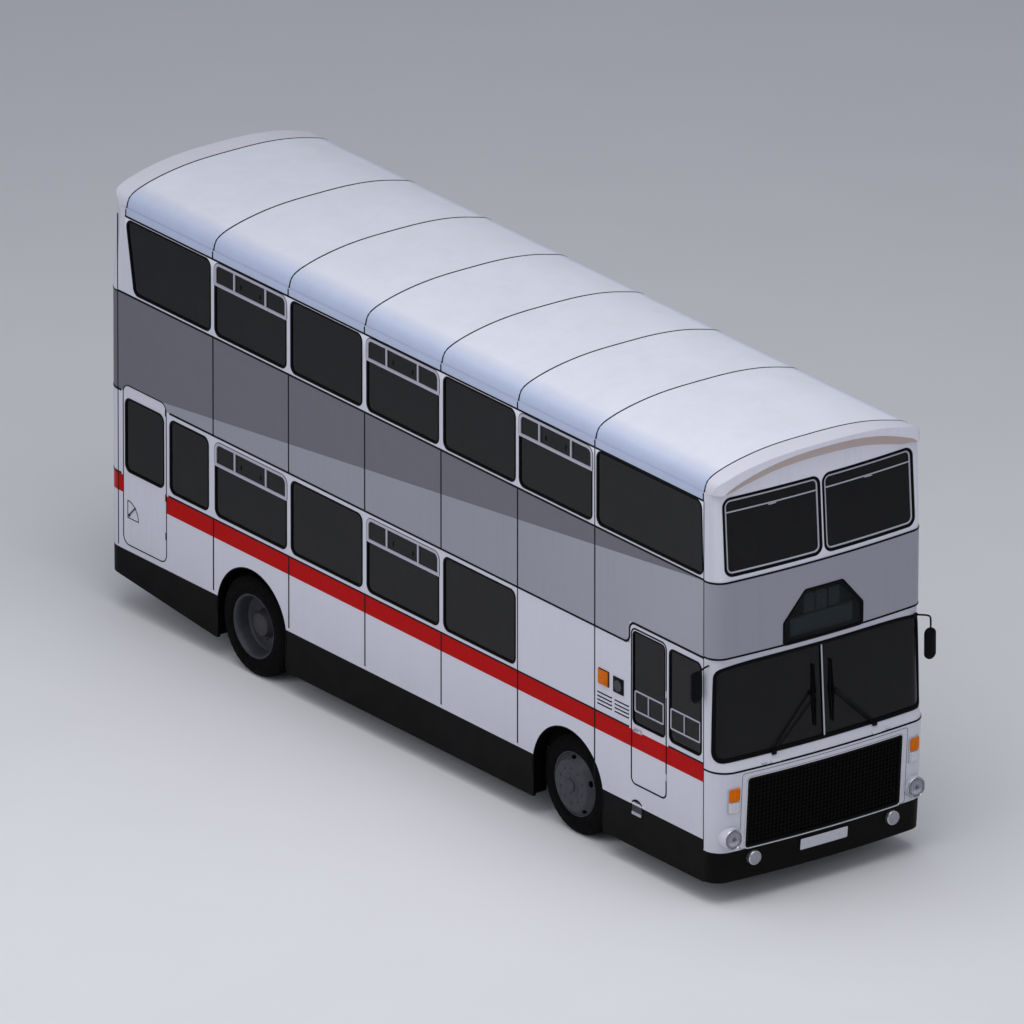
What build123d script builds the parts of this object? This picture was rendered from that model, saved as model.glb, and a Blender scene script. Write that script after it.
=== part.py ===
from build123d import *
import math
import os

os.makedirs("parts", exist_ok=True)

# Front-engined double-decker bus. Millimetres. +Z up, ground at Z 0, -Y is the
# front, +X is the nearside (passenger door), -X the offside (driver).

# ---------------------------------------------------------------- dimensions
HALF = 1250.0            # half of the body width
SKIN = 45.0              # wall thickness: panel, frame and lining together
INNER = HALF - SKIN
FRONT_SEAM = -4621.0     # where the front moulding meets the side panels
REAR_SEAM = 4692.0       # the same at the rear, up to the upper deck waist
DOME_SEAM = 4567.0       # rear dome, above the upper deck waist
NOSE = -4930.0           # front-most point, at the lower waist line
TAIL = 4930.0            # rear-most point
CROWN_R = 11779.0        # plan radius of the crowned front
TAIL_R = 18000.0         # plan radius of the rear

SKIRT_Z = 220.0          # bottom of the side skirt
PANEL_Z = 655.0          # top of the black skirt
BUMPER_Z = 548.0         # top of the front bumper
WAIST_Z = 1377.0         # front waist line
BAND_Z = 2290.0          # bottom of the between-decks band
CAB_BAND_Z = 2512.0      # the same over the cab and the front
CAB_STEP_Y = -3460.0     # where the band line steps up
NEAR_STEP_Y = -3320.0    # the same over the passenger entrance
DECK_Z = 3308.0          # upper deck waist
CANT_Z = 4112.0          # roof gutter line
ROOF_Z = 4491.0

AXLE_Z = 509.0
TYRE_R = 509.0
BEAD_R = 312.0
BARREL_R = 286.0
STUD_R = 175.0
REAR_HUB_R = 150.0   # rear hub where it passes the discs
TYRE_W = 280.0
FRONT_AXLE_Y = -2500.0
REAR_AXLE_Y = 2540.0
FRONT_WHEEL_X = 1040.0   # centre plane of a front tyre
REAR_OUT_X = 1100.0      # centre planes of the twins
REAR_IN_X = 790.0
KINGPIN_X = 860.0
ARCH_R = 562.0
ARCH_Z = 536.0
FRONT_ARCH_Y = -2490.0
REAR_ARCH_Y = 2545.0

FLOOR_Z = 700.0          # lower deck floor
FLOOR_T = 50.0
UPPER_Z = 2600.0         # upper deck floor
UPPER_T = 80.0
CAB_FLOOR_Z = 850.0
STEP_Z = 330.0           # entrance step

WIN_Z0, WIN_Z1 = 1485.0, 2230.0      # lower deck windows
UWIN_Z0, UWIN_Z1 = 3350.0, 4083.0    # upper deck windows
WIN_R = 70.0
PANE_T = 6.0


# ------------------------------------------------------------------- helpers
def block(x0, x1, y0, y1, z0, z1):
    return Pos((x0 + x1) / 2, (y0 + y1) / 2, (z0 + z1) / 2) * Box(x1 - x0, y1 - y0, z1 - z0)


def rect(a0, a1, b0, b1, r=0.0):
    shape = RectangleRounded(a1 - a0, b1 - b0, r) if r else Rectangle(a1 - a0, b1 - b0)
    return Pos((a0 + a1) / 2, (b0 + b1) / 2) * shape


def poly(points, r=0.0):
    shape = Polygon(*points, align=None)
    return fillet(shape.vertices(), r) if r else shape


def along_x(face, x0, x1):
    """A (y, z) outline carried from x0 to x1."""
    return extrude(Plane.YZ.offset(x0) * face, amount=x1 - x0, dir=(1, 0, 0))


def along_y(face, y0, y1):
    """An (x, z) outline carried from y0 to y1."""
    plane = Plane(origin=(0, y1, 0), x_dir=(1, 0, 0), z_dir=(0, -1, 0))
    return extrude(plane * face, amount=y1 - y0, dir=(0, -1, 0))


def along_z(face, z0, z1):
    return extrude(Plane.XY.offset(z0) * face, amount=z1 - z0, dir=(0, 0, 1))


def rod_x(y, z, r, x0, x1):
    return Pos((x0 + x1) / 2, y, z) * Rot(0, 90, 0) * Cylinder(r, x1 - x0)


def rod_y(x, z, r, y0, y1):
    return Pos(x, (y0 + y1) / 2, z) * Rot(90, 0, 0) * Cylinder(r, y1 - y0)


def rod_z(x, y, r, z0, z1):
    return Pos(x, y, (z0 + z1) / 2) * Cylinder(r, z1 - z0)


def tube(points, r):
    """Round bar through points, each run a cylinder with a ball at the bends."""
    out = None
    for a, b in zip(points, points[1:]):
        va, vb = Vector(*a), Vector(*b)
        d = vb - va
        run = Plane(origin=va, z_dir=d) * Pos(0, 0, d.length / 2) * Cylinder(r, d.length)
        out = run if out is None else out + run
    for p in points[1:-1]:
        out = out + Pos(*p) * Sphere(r)
    return out


def mirror_x(shape):
    return mirror(shape, about=Plane.YZ)


def both(shape):
    return [shape, mirror_x(shape)]


def save(name, *shapes):
    flat = []
    for s in shapes:
        for item in (s if isinstance(s, (list, tuple)) else [s]):
            flat.extend(item.solids())
    part = Compound(children=flat) if len(flat) > 1 else flat[0]
    export_step(part, f"parts/{name}.step")


# ------------------------------------------------- plan shape of nose and tail
def end_face(z, y_mid, r, y_seam, inset=0.0, front=True):
    """Plan outline of the front or the rear at height z, set in by inset."""
    s = -1.0 if front else 1.0
    big = CROWN_R if front else TAIL_R
    h = HALF - inset
    ym = y_mid - s * inset
    rr = max(r - inset, 20.0)
    # corner circle touches the side line and the crown circle; worked with -Y as outwards, then turned by s
    cc = big
    cf = cc - math.sqrt((big - rr) ** 2 - (h - rr) ** 2)      # distance of the corner centre behind the crown's front
    k = big / (big - rr)
    tx, td = (h - rr) * k, cc + (cf - cc) * k                 # where corner and crown meet
    a0, a1 = 0.0, math.atan2(cc - cf, h - rr)                 # angles from +X towards outwards
    am = (a0 + a1) / 2.0
    mx, md = (h - rr) + rr * math.cos(am), cf - rr * math.sin(am)
    y_c, y_t, y_m = ym - s * cf, ym - s * td, ym - s * md
    edges = [
        Line((-h, y_seam), (-h, y_c)),
        ThreePointArc((-h, y_c), (-mx, y_m), (-tx, y_t)),
        ThreePointArc((-tx, y_t), (0, ym), (tx, y_t)),
        ThreePointArc((tx, y_t), (mx, y_m), (h, y_c)),
        Line((h, y_c), (h, y_seam)),
        Line((h, y_seam), (-h, y_seam)),
    ]
    return Pos(0, 0, z) * make_face(edges)


def end_solid(levels, y_seam, inset=0.0, front=True, grow=0.0):
    """Ruled solid through the plan outlines at several heights."""
    rows = [list(row) for row in levels]
    rows[0][0] -= grow
    rows[-1][0] += grow
    faces = [end_face(z, y, r, y_seam, inset, front) for z, y, r in rows]
    return loft([f.face() if isinstance(f, Sketch) else f for f in faces], ruled=True)


def end_shell(levels, y_seam, t_out=0.0, t_in=SKIN, front=True):
    outer = end_solid(levels, y_seam, t_out, front)
    s = 1.0 if front else -1.0
    inner = end_solid(levels, y_seam + s * 40.0, t_in, front, grow=2.0)
    return outer - inner


BUMPER = [(230.0, -4843.0, 170.0), (548.0, -4874.0, 178.0)]
LOWER_FRONT = [(548.0, -4874.0, 178.0), (WAIST_Z, NOSE, 205.0), (1462.0, -4870.0, 172.0),
               (CAB_BAND_Z, -4808.0, 120.0)]
BAND_FRONT = [(CAB_BAND_Z, -4852.0, 160.0), (DECK_Z, -4862.0, 162.0)]
UPPER_FRONT = [(DECK_Z, -4850.0, 155.0), (4210.0, -4792.0, 112.0)]
SKIRT_REAR = [(375.0, TAIL - 12.0, 188.0), (PANEL_Z, TAIL - 2.0, 198.0)]
LOWER_REAR = [(PANEL_Z, TAIL, 200.0), (DECK_Z, TAIL, 200.0)]
UPPER_REAR = [(DECK_Z, TAIL - 3.0, 200.0), (4210.0, 4838.0, 205.0)]

# ---------------------------------------------------------------- side panels
# openings as (y0, y1, z0, z1, radius) on the offside
DRIVER_DOOR = (-4042.0, -3485.0, 867.0, 2468.0, 70.0)
EMERGENCY_DOOR = (3912.5, 4610.0, 717.0, 2371.0, 90.0)
ENTRANCE = (-4405.0, -3371.0, STEP_Z, 2402.0)
CAB_WINDOW = (-4583.0, -4090.0, 1496.0, 2433.0, 60.0)
BAYS = [(1985.0, 3121.0), (775.0, 1902.0), (-444.0, 689.0), (-1657.5, -530.0)]
FRONT_BAY = (-2865.0, -1729.0)


def arches():
    out = None
    for y in (FRONT_ARCH_Y, REAR_ARCH_Y):
        one = Pos(y, ARCH_Z) * Circle(ARCH_R) + rect(y - 552.0, y + 552.0, -10.0, ARCH_Z)
        out = one if out is None else out + one
    return out


def grown(box, g):
    y0, y1, z0, z1, r = box
    return rect(y0 - g, y1 + g, z0 - g, z1 + g, max(r + g, 1.0))


lower_outline = poly([(REAR_SEAM, PANEL_Z), (FRONT_SEAM, PANEL_Z), (FRONT_SEAM, CAB_BAND_Z),
                      (CAB_STEP_Y, CAB_BAND_Z), (CAB_STEP_Y, BAND_Z), (REAR_SEAM, BAND_Z)])
upper_outline = poly([(REAR_SEAM, BAND_Z), (CAB_STEP_Y, BAND_Z), (CAB_STEP_Y, CAB_BAND_Z),
                      (FRONT_SEAM, CAB_BAND_Z), (FRONT_SEAM, CANT_Z), (DOME_SEAM, CANT_Z),
                      (DOME_SEAM, DECK_Z), (REAR_SEAM, DECK_Z)])
near_step = rect(CAB_STEP_Y - 1.0, NEAR_STEP_Y, BAND_Z, CAB_BAND_Z)

lower_wins = [(a, b, WIN_Z0, WIN_Z1, WIN_R) for a, b in BAYS]
lower_wins_right = lower_wins + [(3237.5, 3850.0, WIN_Z0, WIN_Z1, WIN_R), CAB_WINDOW]
lower_wins_left = lower_wins + [(3237.5, 4500.0, WIN_Z0, WIN_Z1, WIN_R),
                                (FRONT_BAY[0], FRONT_BAY[1], WIN_Z0, WIN_Z1, WIN_R)]
upper_wins = [(a, b, UWIN_Z0, UWIN_Z1, WIN_R) for a, b in BAYS + [FRONT_BAY]]


def upper_rear_window(g=0.0):
    pts = [(4548.0 + g, 4083.0 + g), (4418.0 + g, UWIN_Z0 - g), (3198.0 - g, UWIN_Z0 - g), (3198.0 - g, 4083.0 + g)]
    return poly(pts, WIN_R + g)


def upper_front_window(g=0.0):
    pts = [(-2950.0 + g, UWIN_Z0 - g), (-4606.0 - g, UWIN_Z0 - g), (-4578.0 - g, 4090.0 + g), (-2950.0 + g, 4090.0 + g)]
    return poly(pts, WIN_R + g)


def side_panel(outline, cuts, sign):
    face = outline
    for c in cuts:
        face = face - c
    x0, x1 = (INNER, HALF) if sign > 0 else (-HALF, -INNER)
    return along_x(face, x0, x1)


arch_cut = arches()
lower_right = side_panel(lower_outline, [grown(w, 0) for w in lower_wins_right]
                         + [arch_cut, grown(DRIVER_DOOR, 3.0), grown(EMERGENCY_DOOR, 3.0)], -1)
door_way = rect(ENTRANCE[0], ENTRANCE[1], 100.0, ENTRANCE[3])
lower_left = side_panel(lower_outline + near_step, [grown(w, 0) for w in lower_wins_left] + [arch_cut, door_way], 1)
up_cuts = [grown(w, 0) for w in upper_wins] + [upper_rear_window(), upper_front_window()]
upper_right = side_panel(upper_outline, up_cuts + [grown(EMERGENCY_DOOR, 3.0)], -1)
upper_left = side_panel(upper_outline - near_step, up_cuts, 1)
save("lower_side_right", lower_right)
save("lower_side_left", lower_left)
save("upper_side_right", upper_right)
save("upper_side_left", upper_left)


def panes(wins, extra, x0, x1):
    out = [along_x(grown(w, -1.0), x0, x1) for w in wins]
    return out + [along_x(f, x0, x1) for f in extra]


GX0, GX1 = HALF - 14.0, HALF - 14.0 + PANE_T
extra_up = [upper_rear_window(-1.0), upper_front_window(-1.0)]
save("side_windows_right", panes(lower_wins_right + upper_wins, extra_up, -GX1, -GX0))
save("side_windows_left", panes(lower_wins_left + upper_wins, extra_up, GX0, GX1))

# ---------------------------------------------------------------- black skirt
SKIRT_T = 35.0
skirt_outline = poly([(FRONT_SEAM, SKIRT_Z), (3150.0, SKIRT_Z), (REAR_SEAM - 1.0, 372.0),
                      (REAR_SEAM - 1.0, PANEL_Z), (FRONT_SEAM, PANEL_Z)])
skirt_r = along_x(skirt_outline - arch_cut, -HALF, -HALF + SKIRT_T)
skirt_l = along_x(skirt_outline - arch_cut - rect(ENTRANCE[0], ENTRANCE[1], STEP_Z, PANEL_Z + 5.0),
                  HALF - SKIRT_T, HALF)
skirt_b = end_shell(SKIRT_REAR, REAR_SEAM, 0.0, SKIRT_T, front=False)
save("skirts", skirt_r, skirt_l, skirt_b)

# ----------------------------------------------------------------- front ends
bumper = end_shell(BUMPER, FRONT_SEAM, 0.0, 60.0)
FOG_X, FOG_Z, FOG_R = 825.0, 445.0, 75.0
for s in (-1, 1):
    bumper = bumper - rod_y(s * FOG_X, FOG_Z, FOG_R + 1.0, -5000.0, -4650.0)
save("front_bumper", bumper)

SCREEN = (-1245.0, 1245.0, 1486.0, 2424.0, 100.0)
SCREEN_Y = -4735.0
SCREEN_RUN = 70.0        # how far a rounded corner of the screen runs forward
GRILLE = (-925.0, 925.0, 552.0, 1290.0, 40.0)
LAMP_X, LAMP_Z, LAMP_R = 1090.0, 700.0, 112.0
IND = (1005.0, 1135.0, 950.0, 1222.0, 12.0)


def front_prism(box, g=0.0, y1=SCREEN_Y):
    x0, x1, z0, z1, r = box
    return along_y(rect(x0 - g, x1 + g, z0 - g, z1 + g, max(r + g, 1.0)), -5050.0, y1)


# the screen wraps round the corners; its outline is cut square from the front and rounded from the side
def screen_cut(g=0.0):
    x, z0, z1, r, d = SCREEN[1] + 15.0 - g, SCREEN[2] + g, SCREEN[3] - g, SCREEN[4], SCREEN_RUN
    y, k = SCREEN_Y - g, 0.7071
    outline = make_face([
        Line((-5050.0, z0), (y - d, z0)), ThreePointArc((y - d, z0), (y - d * (1.0 - k), z0 + r * (1.0 - k)), (y, z0 + r)),
        Line((y, z0 + r), (y, z1 - r)), ThreePointArc((y, z1 - r), (y - d * (1.0 - k), z1 - r * (1.0 - k)), (y - d, z1)),
        Line((y - d, z1), (-5050.0, z1)), Line((-5050.0, z1), (-5050.0, z0))])
    return along_x(outline, -x, x)


front_panel = end_shell(LOWER_FRONT, FRONT_SEAM)
front_panel = front_panel - screen_cut()
front_panel = front_panel - front_prism(GRILLE, 3.0, -4700.0)
for s in (-1, 1):
    front_panel = front_panel - rod_y(s * LAMP_X, LAMP_Z, LAMP_R + 1.0, -5050.0, -4650.0)
save("front_panel", front_panel)

screen = end_shell(LOWER_FRONT[1:], FRONT_SEAM, 10.0, 18.0)
screen = screen & screen_cut(2.0)
save("windscreen", screen)

grille = end_shell(LOWER_FRONT[:2], FRONT_SEAM, 6.0, 40.0)
grille = grille & front_prism(GRILLE, 0.0, -4700.0)
mesh_field = front_prism((-897.0, 897.0, 580.0, 1262.0, 20.0), 0.0, -4700.0)
recess = end_solid([(540.0, -4873.0, 178.0), (1385.0, NOSE, 205.0)], FRONT_SEAM, -20.0) - end_solid(
    [(540.0, -4873.0, 178.0), (1385.0, NOSE, 205.0)], FRONT_SEAM + 20.0, 24.0, grow=1.0)
grille = grille - (recess & mesh_field)
save("grille", grille)

# destination box: a shallow tray behind a six-sided window
DEST = [(-465.0, 2524.0), (465.0, 2524.0), (465.0, 2745.0), (220.0, 3027.0), (-220.0, 3027.0), (-465.0, 2745.0)]
dest_cut = along_y(poly(DEST, 30.0), -5000.0, -4700.0)
band = end_shell(BAND_FRONT, FRONT_SEAM) - dest_cut
save("front_band_panel", band)
dest_out = [(x * 0.994, 2524.0 + 3.0 + (z - 2524.0) * 0.988) for x, z in DEST]
dest_in = [(x * 0.96, 2524.0 + 14.0 + (z - 2524.0) * 0.946) for x, z in DEST]
tray = along_y(poly(dest_out, 28.0), -4838.0, -4690.0) - along_y(poly(dest_in, 20.0), -4900.0, -4702.0)
save("destination_box", tray)

# ------------------------------------------------------------------- roof
ROOF_PTS = [(1250.0, CANT_Z), (1243.0, 4180.0), (1226.0, 4248.0), (1167.0, 4326.0), (1025.0, 4383.0),
            (788.0, 4438.0), (504.0, 4476.0), (220.0, 4490.0), (0.0, ROOF_Z)]
ROOF_IN = [(1205.0, CANT_Z), (1198.0, 4172.0), (1182.0, 4228.0), (1133.0, 4292.0), (1008.0, 4341.0),
           (778.0, 4394.0), (500.0, 4432.0), (219.0, 4446.0), (0.0, 4447.0)]


def roof_outline(points):
    right = points
    left = [(-x, z) for x, z in reversed(points[:-1])]
    pts = right + left
    curve = Spline(*pts, tangents=[(0, 1), (0, -1)])
    return make_face([curve, Line(pts[-1], pts[0])])


roof_out = roof_outline(ROOF_PTS)
roof_in = roof_outline(ROOF_IN)
ROOF_Y0, ROOF_Y1 = FRONT_SEAM, DOME_SEAM
roof = along_y(roof_out, ROOF_Y0, ROOF_Y1) - along_y(roof_in, ROOF_Y0 - 5.0, ROOF_Y1 + 5.0)
save("roof", roof)


def side_profile(points, closing):
    curve = Spline(*points)
    pts = [points[-1]] + closing + [points[0]]
    return make_face([curve] + [Line(a, b) for a, b in zip(pts, pts[1:])])


def tall_outline(points, z0):
    """Roof section carried straight down its sides to z0."""
    right = points
    left = [(-x, z) for x, z in reversed(points[:-1])]
    pts = right + left
    curve = Spline(*pts, tangents=[(0, 1), (0, -1)])
    return make_face([curve, Line(pts[-1], (pts[-1][0], z0)), Line((pts[-1][0], z0), (pts[0][0], z0)), Line((pts[0][0], z0), pts[0])])


# front dome: upper window surround under an arched lip, whose underside slopes back to the wall
def lerp_pts(a, b, t, dz=0.0):
    return [(p[0] + (q[0] - p[0]) * t, p[1] + (q[1] - p[1]) * t + dz) for p, q in zip(a, b)]


wall_f = end_solid([(DECK_Z, -4851.0, 155.0), (4215.0, -4793.0, 112.0), (4500.0, -4775.0, 104.0)], FRONT_SEAM + 30.0, -1.0)
cap_f = along_z(end_face(0.0, -4871.0, 165.0, FRONT_SEAM + 31.0, -1.0), 4195.0, 4600.0)
LIP_Z0 = DECK_Z - 60.0


def section_at(y, points):
    """The outline under a roof section, standing at y."""
    plane = Plane(origin=(0, y, 0), x_dir=(1, 0, 0), z_dir=(0, -1, 0))
    f = plane * tall_outline(points, LIP_Z0)
    return f.face() if isinstance(f, Sketch) else f


lip_under = loft([section_at(-4885.0, lerp_pts(ROOF_PTS, ROOF_IN, 0.6)),
                  section_at(-4765.0, lerp_pts(ROOF_PTS, ROOF_IN, 1.0, -150.0))], ruled=True)
cap_f = cap_f - lip_under
front_dome = (wall_f + cap_f) & along_y(tall_outline(ROOF_PTS, DECK_Z - 40.0), -5000.0, FRONT_SEAM)
hollow_f = end_solid([(DECK_Z - 6.0, -4850.0, 155.0), (4600.0, -4764.0, 90.0)], FRONT_SEAM + 60.0, SKIN - 1.0)
hollow_f = hollow_f & along_y(tall_outline(ROOF_IN, DECK_Z - 50.0), -5000.0, FRONT_SEAM + 50.0)
front_dome = front_dome - hollow_f
FWIN = [(-1120.0, -24.0, 3362.0, 4128.0, 80.0), (24.0, 1120.0, 3362.0, 4128.0, 80.0)]
for w in FWIN:
    front_dome = front_dome - front_prism(w, 0.0, -4660.0)
save("front_dome", front_dome)
fglass = end_shell(UPPER_FRONT, FRONT_SEAM, 14.0, 20.0)
save("front_upper_windows", [fglass & front_prism(w, -1.5, -4660.0) for w in FWIN])

# rear panel and rear dome
rear_panel = end_shell(LOWER_REAR, REAR_SEAM, front=False)
RWIN_LOW = (-850.0, 850.0, 1500.0, WIN_Z1, 90.0)
RWIN_UP = (-760.0, 760.0, 3430.0, 4050.0, 90.0)


def rear_prism(box, g=0.0, y0=4760.0):
    x0, x1, z0, z1, r = box
    return along_y(rect(x0 - g, x1 + g, z0 - g, z1 + g, max(r + g, 1.0)), y0, 5050.0)


rear_panel = rear_panel - rear_prism(RWIN_LOW)
save("rear_panel", rear_panel)

wall_r = end_solid([(DECK_Z, TAIL - 2.0, 200.0), (4215.0, 4839.0, 205.0), (4330.0, 4829.0, 90.0), (4500.0, 4812.0, 80.0)],
                   DOME_SEAM - 30.0, -1.0, False)
rear_dome = wall_r & along_y(tall_outline(ROOF_PTS, DECK_Z - 40.0), DOME_SEAM, 5000.0)
hollow_r = end_solid([(DECK_Z - 6.0, TAIL - 2.0, 200.0), (4215.0, 4838.0, 200.0), (4500.0, 4811.0, 150.0)], DOME_SEAM - 60.0,
                     SKIN - 1.0, False)
hollow_r = hollow_r & along_y(tall_outline(ROOF_IN, DECK_Z - 50.0), DOME_SEAM - 50.0, 5000.0)
rear_dome = rear_dome - hollow_r - rear_prism(RWIN_UP, 0.0, 4700.0)
save("rear_dome", rear_dome)
rg_low = end_shell(LOWER_REAR, REAR_SEAM, 10.0, 16.0, front=False) & rear_prism(RWIN_LOW, -1.5)
rg_up = end_shell(UPPER_REAR, DOME_SEAM, 10.0, 16.0, front=False) & rear_prism(RWIN_UP, -1.5, 4700.0)
save("rear_windows", rg_low, rg_up)

# ---------------------------------------------------------------------- lamps
lamps = []
for s in (-1, 1):
    drum = rod_y(s * LAMP_X, LAMP_Z, LAMP_R, -4895.0, -4700.0)
    drum = chamfer(drum.edges().group_by(Axis.Y)[0], 8.0)
    fog = rod_y(s * FOG_X, FOG_Z, FOG_R, -4880.0, -4760.0)
    fog = chamfer(fog.edges().group_by(Axis.Y)[0], 6.0)
    lamps += [drum, fog]
ind_shell = end_solid(LOWER_FRONT[:2], FRONT_SEAM, -14.0) - end_solid(LOWER_FRONT[:2], FRONT_SEAM + 20.0, -0.5, grow=1.0)
for s in (-1, 1):
    x0, x1 = sorted((s * IND[0], s * IND[1]))
    lamps.append(ind_shell & front_prism((x0, x1, IND[2], IND[3], IND[4]), 0.0, -4700.0))
save("front_lamps", lamps)
rl_shell = end_solid(LOWER_REAR, REAR_SEAM, -14.0, False) - end_solid(LOWER_REAR, REAR_SEAM - 20.0, -0.5, False, grow=1.0)
save("rear_lamps", [rl_shell & rear_prism((min(s * 985.0, s * 1115.0), max(s * 985.0, s * 1115.0), 780.0, 1200.0, 12.0),
                                          0.0, 4700.0) for s in (-1, 1)])

# --------------------------------------------------------------------- floors
WB_F = (600.0, -3140.0, -1860.0)     # front wheel boxes: inner wall, front, rear
WB_R = (625.0, 1920.0, 3160.0)
WB_TOP, WB_T = 1105.0, 20.0


def wheel_box(spec, sign):
    x_in, y0, y1 = spec
    outer = block(x_in - WB_T, INNER, y0 - WB_T, y1 + WB_T, FLOOR_Z - FLOOR_T, WB_TOP)
    inner = block(x_in, INNER + 5.0, y0, y1, FLOOR_Z - FLOOR_T - 5.0, WB_TOP - WB_T)
    shape = outer - inner
    return shape if sign > 0 else mirror_x(shape)


floor = block(-INNER, INNER, -4600.0, 4690.0, FLOOR_Z - FLOOR_T, FLOOR_Z)
floor = floor + along_z(end_face(0.0, TAIL - 4.0, 198.0, 4660.0, SKIN + 4.0, False), FLOOR_Z - FLOOR_T, FLOOR_Z)
floor = floor + block(-INNER, -385.0, -4600.0, -3480.0, FLOOR_Z - FLOOR_T, CAB_FLOOR_Z)
STEP_Y0, STEP_Y1 = -4450.0, -3300.0
GAP = 0.5                # wheel boxes and step well are set in the floor with this gap
well = block(660.0, INNER, STEP_Y0, STEP_Y1, STEP_Z - 20.0, STEP_Z)
well = well + block(640.0, 660.0, STEP_Y0, STEP_Y1, STEP_Z - 20.0, 520.0)
well = well + block(500.0, 660.0, STEP_Y0, STEP_Y1, 500.0, 520.0)
well = well + block(480.0, 500.0, STEP_Y0, STEP_Y1, 500.0, FLOOR_Z)
for y in (STEP_Y0, STEP_Y1 - 20.0):
    well = well + block(640.0, INNER, y, y + 20.0, STEP_Z - 20.0, FLOOR_Z) + block(480.0, 660.0, y, y + 20.0, 500.0, FLOOR_Z)
floor = floor - block(480.0 - GAP, INNER + 5.0, STEP_Y0 - GAP, STEP_Y1 + GAP, FLOOR_Z - FLOOR_T - 5.0, FLOOR_Z + 5.0)
floor = floor - block(-375.0, 375.0, -4620.0, -3520.0, FLOOR_Z - FLOOR_T - 5.0, CAB_FLOOR_Z + 5.0)
floor_pieces = [well]
for x_in, y0, y1 in (WB_F, WB_R):
    cut = block(x_in - WB_T - GAP, INNER + 5.0, y0 - WB_T - GAP, y1 + WB_T + GAP, FLOOR_Z - FLOOR_T - 5.0, WB_TOP + 5.0)
    floor = floor - cut - mirror_x(cut)
for spec in (WB_F, WB_R):
    floor_pieces += [wheel_box(spec, -1), wheel_box(spec, 1)]
floor_pieces.append(floor)
save("lower_floor", floor_pieces)

WELL = (-INNER, -570.0, -3600.0, -1870.0)      # stairwell in the upper floor
upper = block(-INNER, INNER, -4600.0, 4680.0, UPPER_Z - UPPER_T, UPPER_Z)
upper = upper + along_z(end_face(0.0, -4846.0, 155.0, -4600.0, SKIN + 4.0), UPPER_Z - UPPER_T, UPPER_Z)
upper = upper + along_z(end_face(0.0, TAIL - 4.0, 205.0, 4680.0, SKIN + 4.0, False), UPPER_Z - UPPER_T, UPPER_Z)
upper = upper - block(WELL[0] + 0.0, WELL[1], WELL[2], WELL[3], UPPER_Z - UPPER_T - 5.0, UPPER_Z + 5.0)
upper = upper - block(-472.0, 472.0, -4950.0, -4684.0, UPPER_Z - UPPER_T - 5.0, UPPER_Z + 5.0)
save("upper_floor", upper)

# -------------------------------------------------------------------- chassis
RAIL_IN, RAIL_OUT, RAIL_Z0, RAIL_Z1 = 395.0, 470.0, 430.0, FLOOR_Z - FLOOR_T
rail = poly([(-4700.0, RAIL_Z0), (-3380.0, RAIL_Z0), (-3300.0, 585.0), (-1700.0, 585.0), (-1620.0, RAIL_Z0),
             (1900.0, RAIL_Z0), (2050.0, 590.0), (3030.0, 590.0), (3180.0, RAIL_Z0 + 60.0), (4620.0, RAIL_Z0 + 60.0),
             (4620.0, RAIL_Z1), (-4700.0, RAIL_Z1)])
chassis = along_x(rail, RAIL_IN, RAIL_OUT) - along_x(
    poly([(-4720.0, RAIL_Z0 + 8.0), (-3377.0, RAIL_Z0 + 8.0), (-3297.0, 593.0), (-1703.0, 593.0), (-1623.0, RAIL_Z0 + 8.0),
          (1897.0, RAIL_Z0 + 8.0), (2047.0, 598.0), (3033.0, 598.0), (3183.0, RAIL_Z0 + 68.0), (4640.0, RAIL_Z0 + 68.0),
          (4640.0, RAIL_Z1 - 8.0), (-4720.0, RAIL_Z1 - 8.0)]), RAIL_IN - 5.0, RAIL_OUT - 8.0)
chassis = both(chassis)
XM_Z0 = 585.0            # underside of the cross-members
FIT = 0.5                # gap between bolted chassis members
for y in (-1560.0, -600.0, 600.0, 1640.0, 3440.0, 4560.0):
    x1 = INNER - 5.0 if y < 4500.0 else 1100.0
    chassis.append(block(-RAIL_OUT + 8.0 + FIT, RAIL_OUT - 8.0 - FIT, y - 35.0, y + 35.0, XM_Z0, RAIL_Z1 - 8.0 - FIT))
    chassis += both(block(RAIL_OUT + FIT, x1, y - 35.0, y + 35.0, XM_Z0, RAIL_Z1))
# front bearer under the engine, with the towing jaw
bearer = block(-RAIL_OUT, RAIL_OUT, -4675.0, -4605.0, 270.0, 330.0)
for s in (-1, 1):
    x0, x1 = sorted((s * RAIL_IN, s * RAIL_OUT))
    bearer = bearer + block(x0, x1, -4675.0, -4605.0, 270.0, RAIL_Z0 - FIT)
chassis.append(block(-1000.0, -RAIL_OUT - FIT, -4675.0, -4605.0, XM_Z0, RAIL_Z1))
TOW_Y, TOW_R = -4720.0, 20.0
bearer = bearer + block(-55.0, 55.0, -4765.0, -4670.0, 270.0, 330.0)
chassis.append(bearer - rod_z(0.0, TOW_Y, TOW_R, 260.0, 340.0))
# spring hangers under and beside the rails
for y in (-3262.0, -1738.0):
    chassis += both(block(RAIL_IN, RAIL_OUT, y - 14.0, y + 14.0, 500.0, 585.0 - FIT))
for y in (1738.0, 3342.0):
    chassis += both(block(RAIL_OUT + FIT, 575.0, y - 14.0, y + 14.0, 520.0, RAIL_Z1))
save("chassis_frame", chassis)


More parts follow.
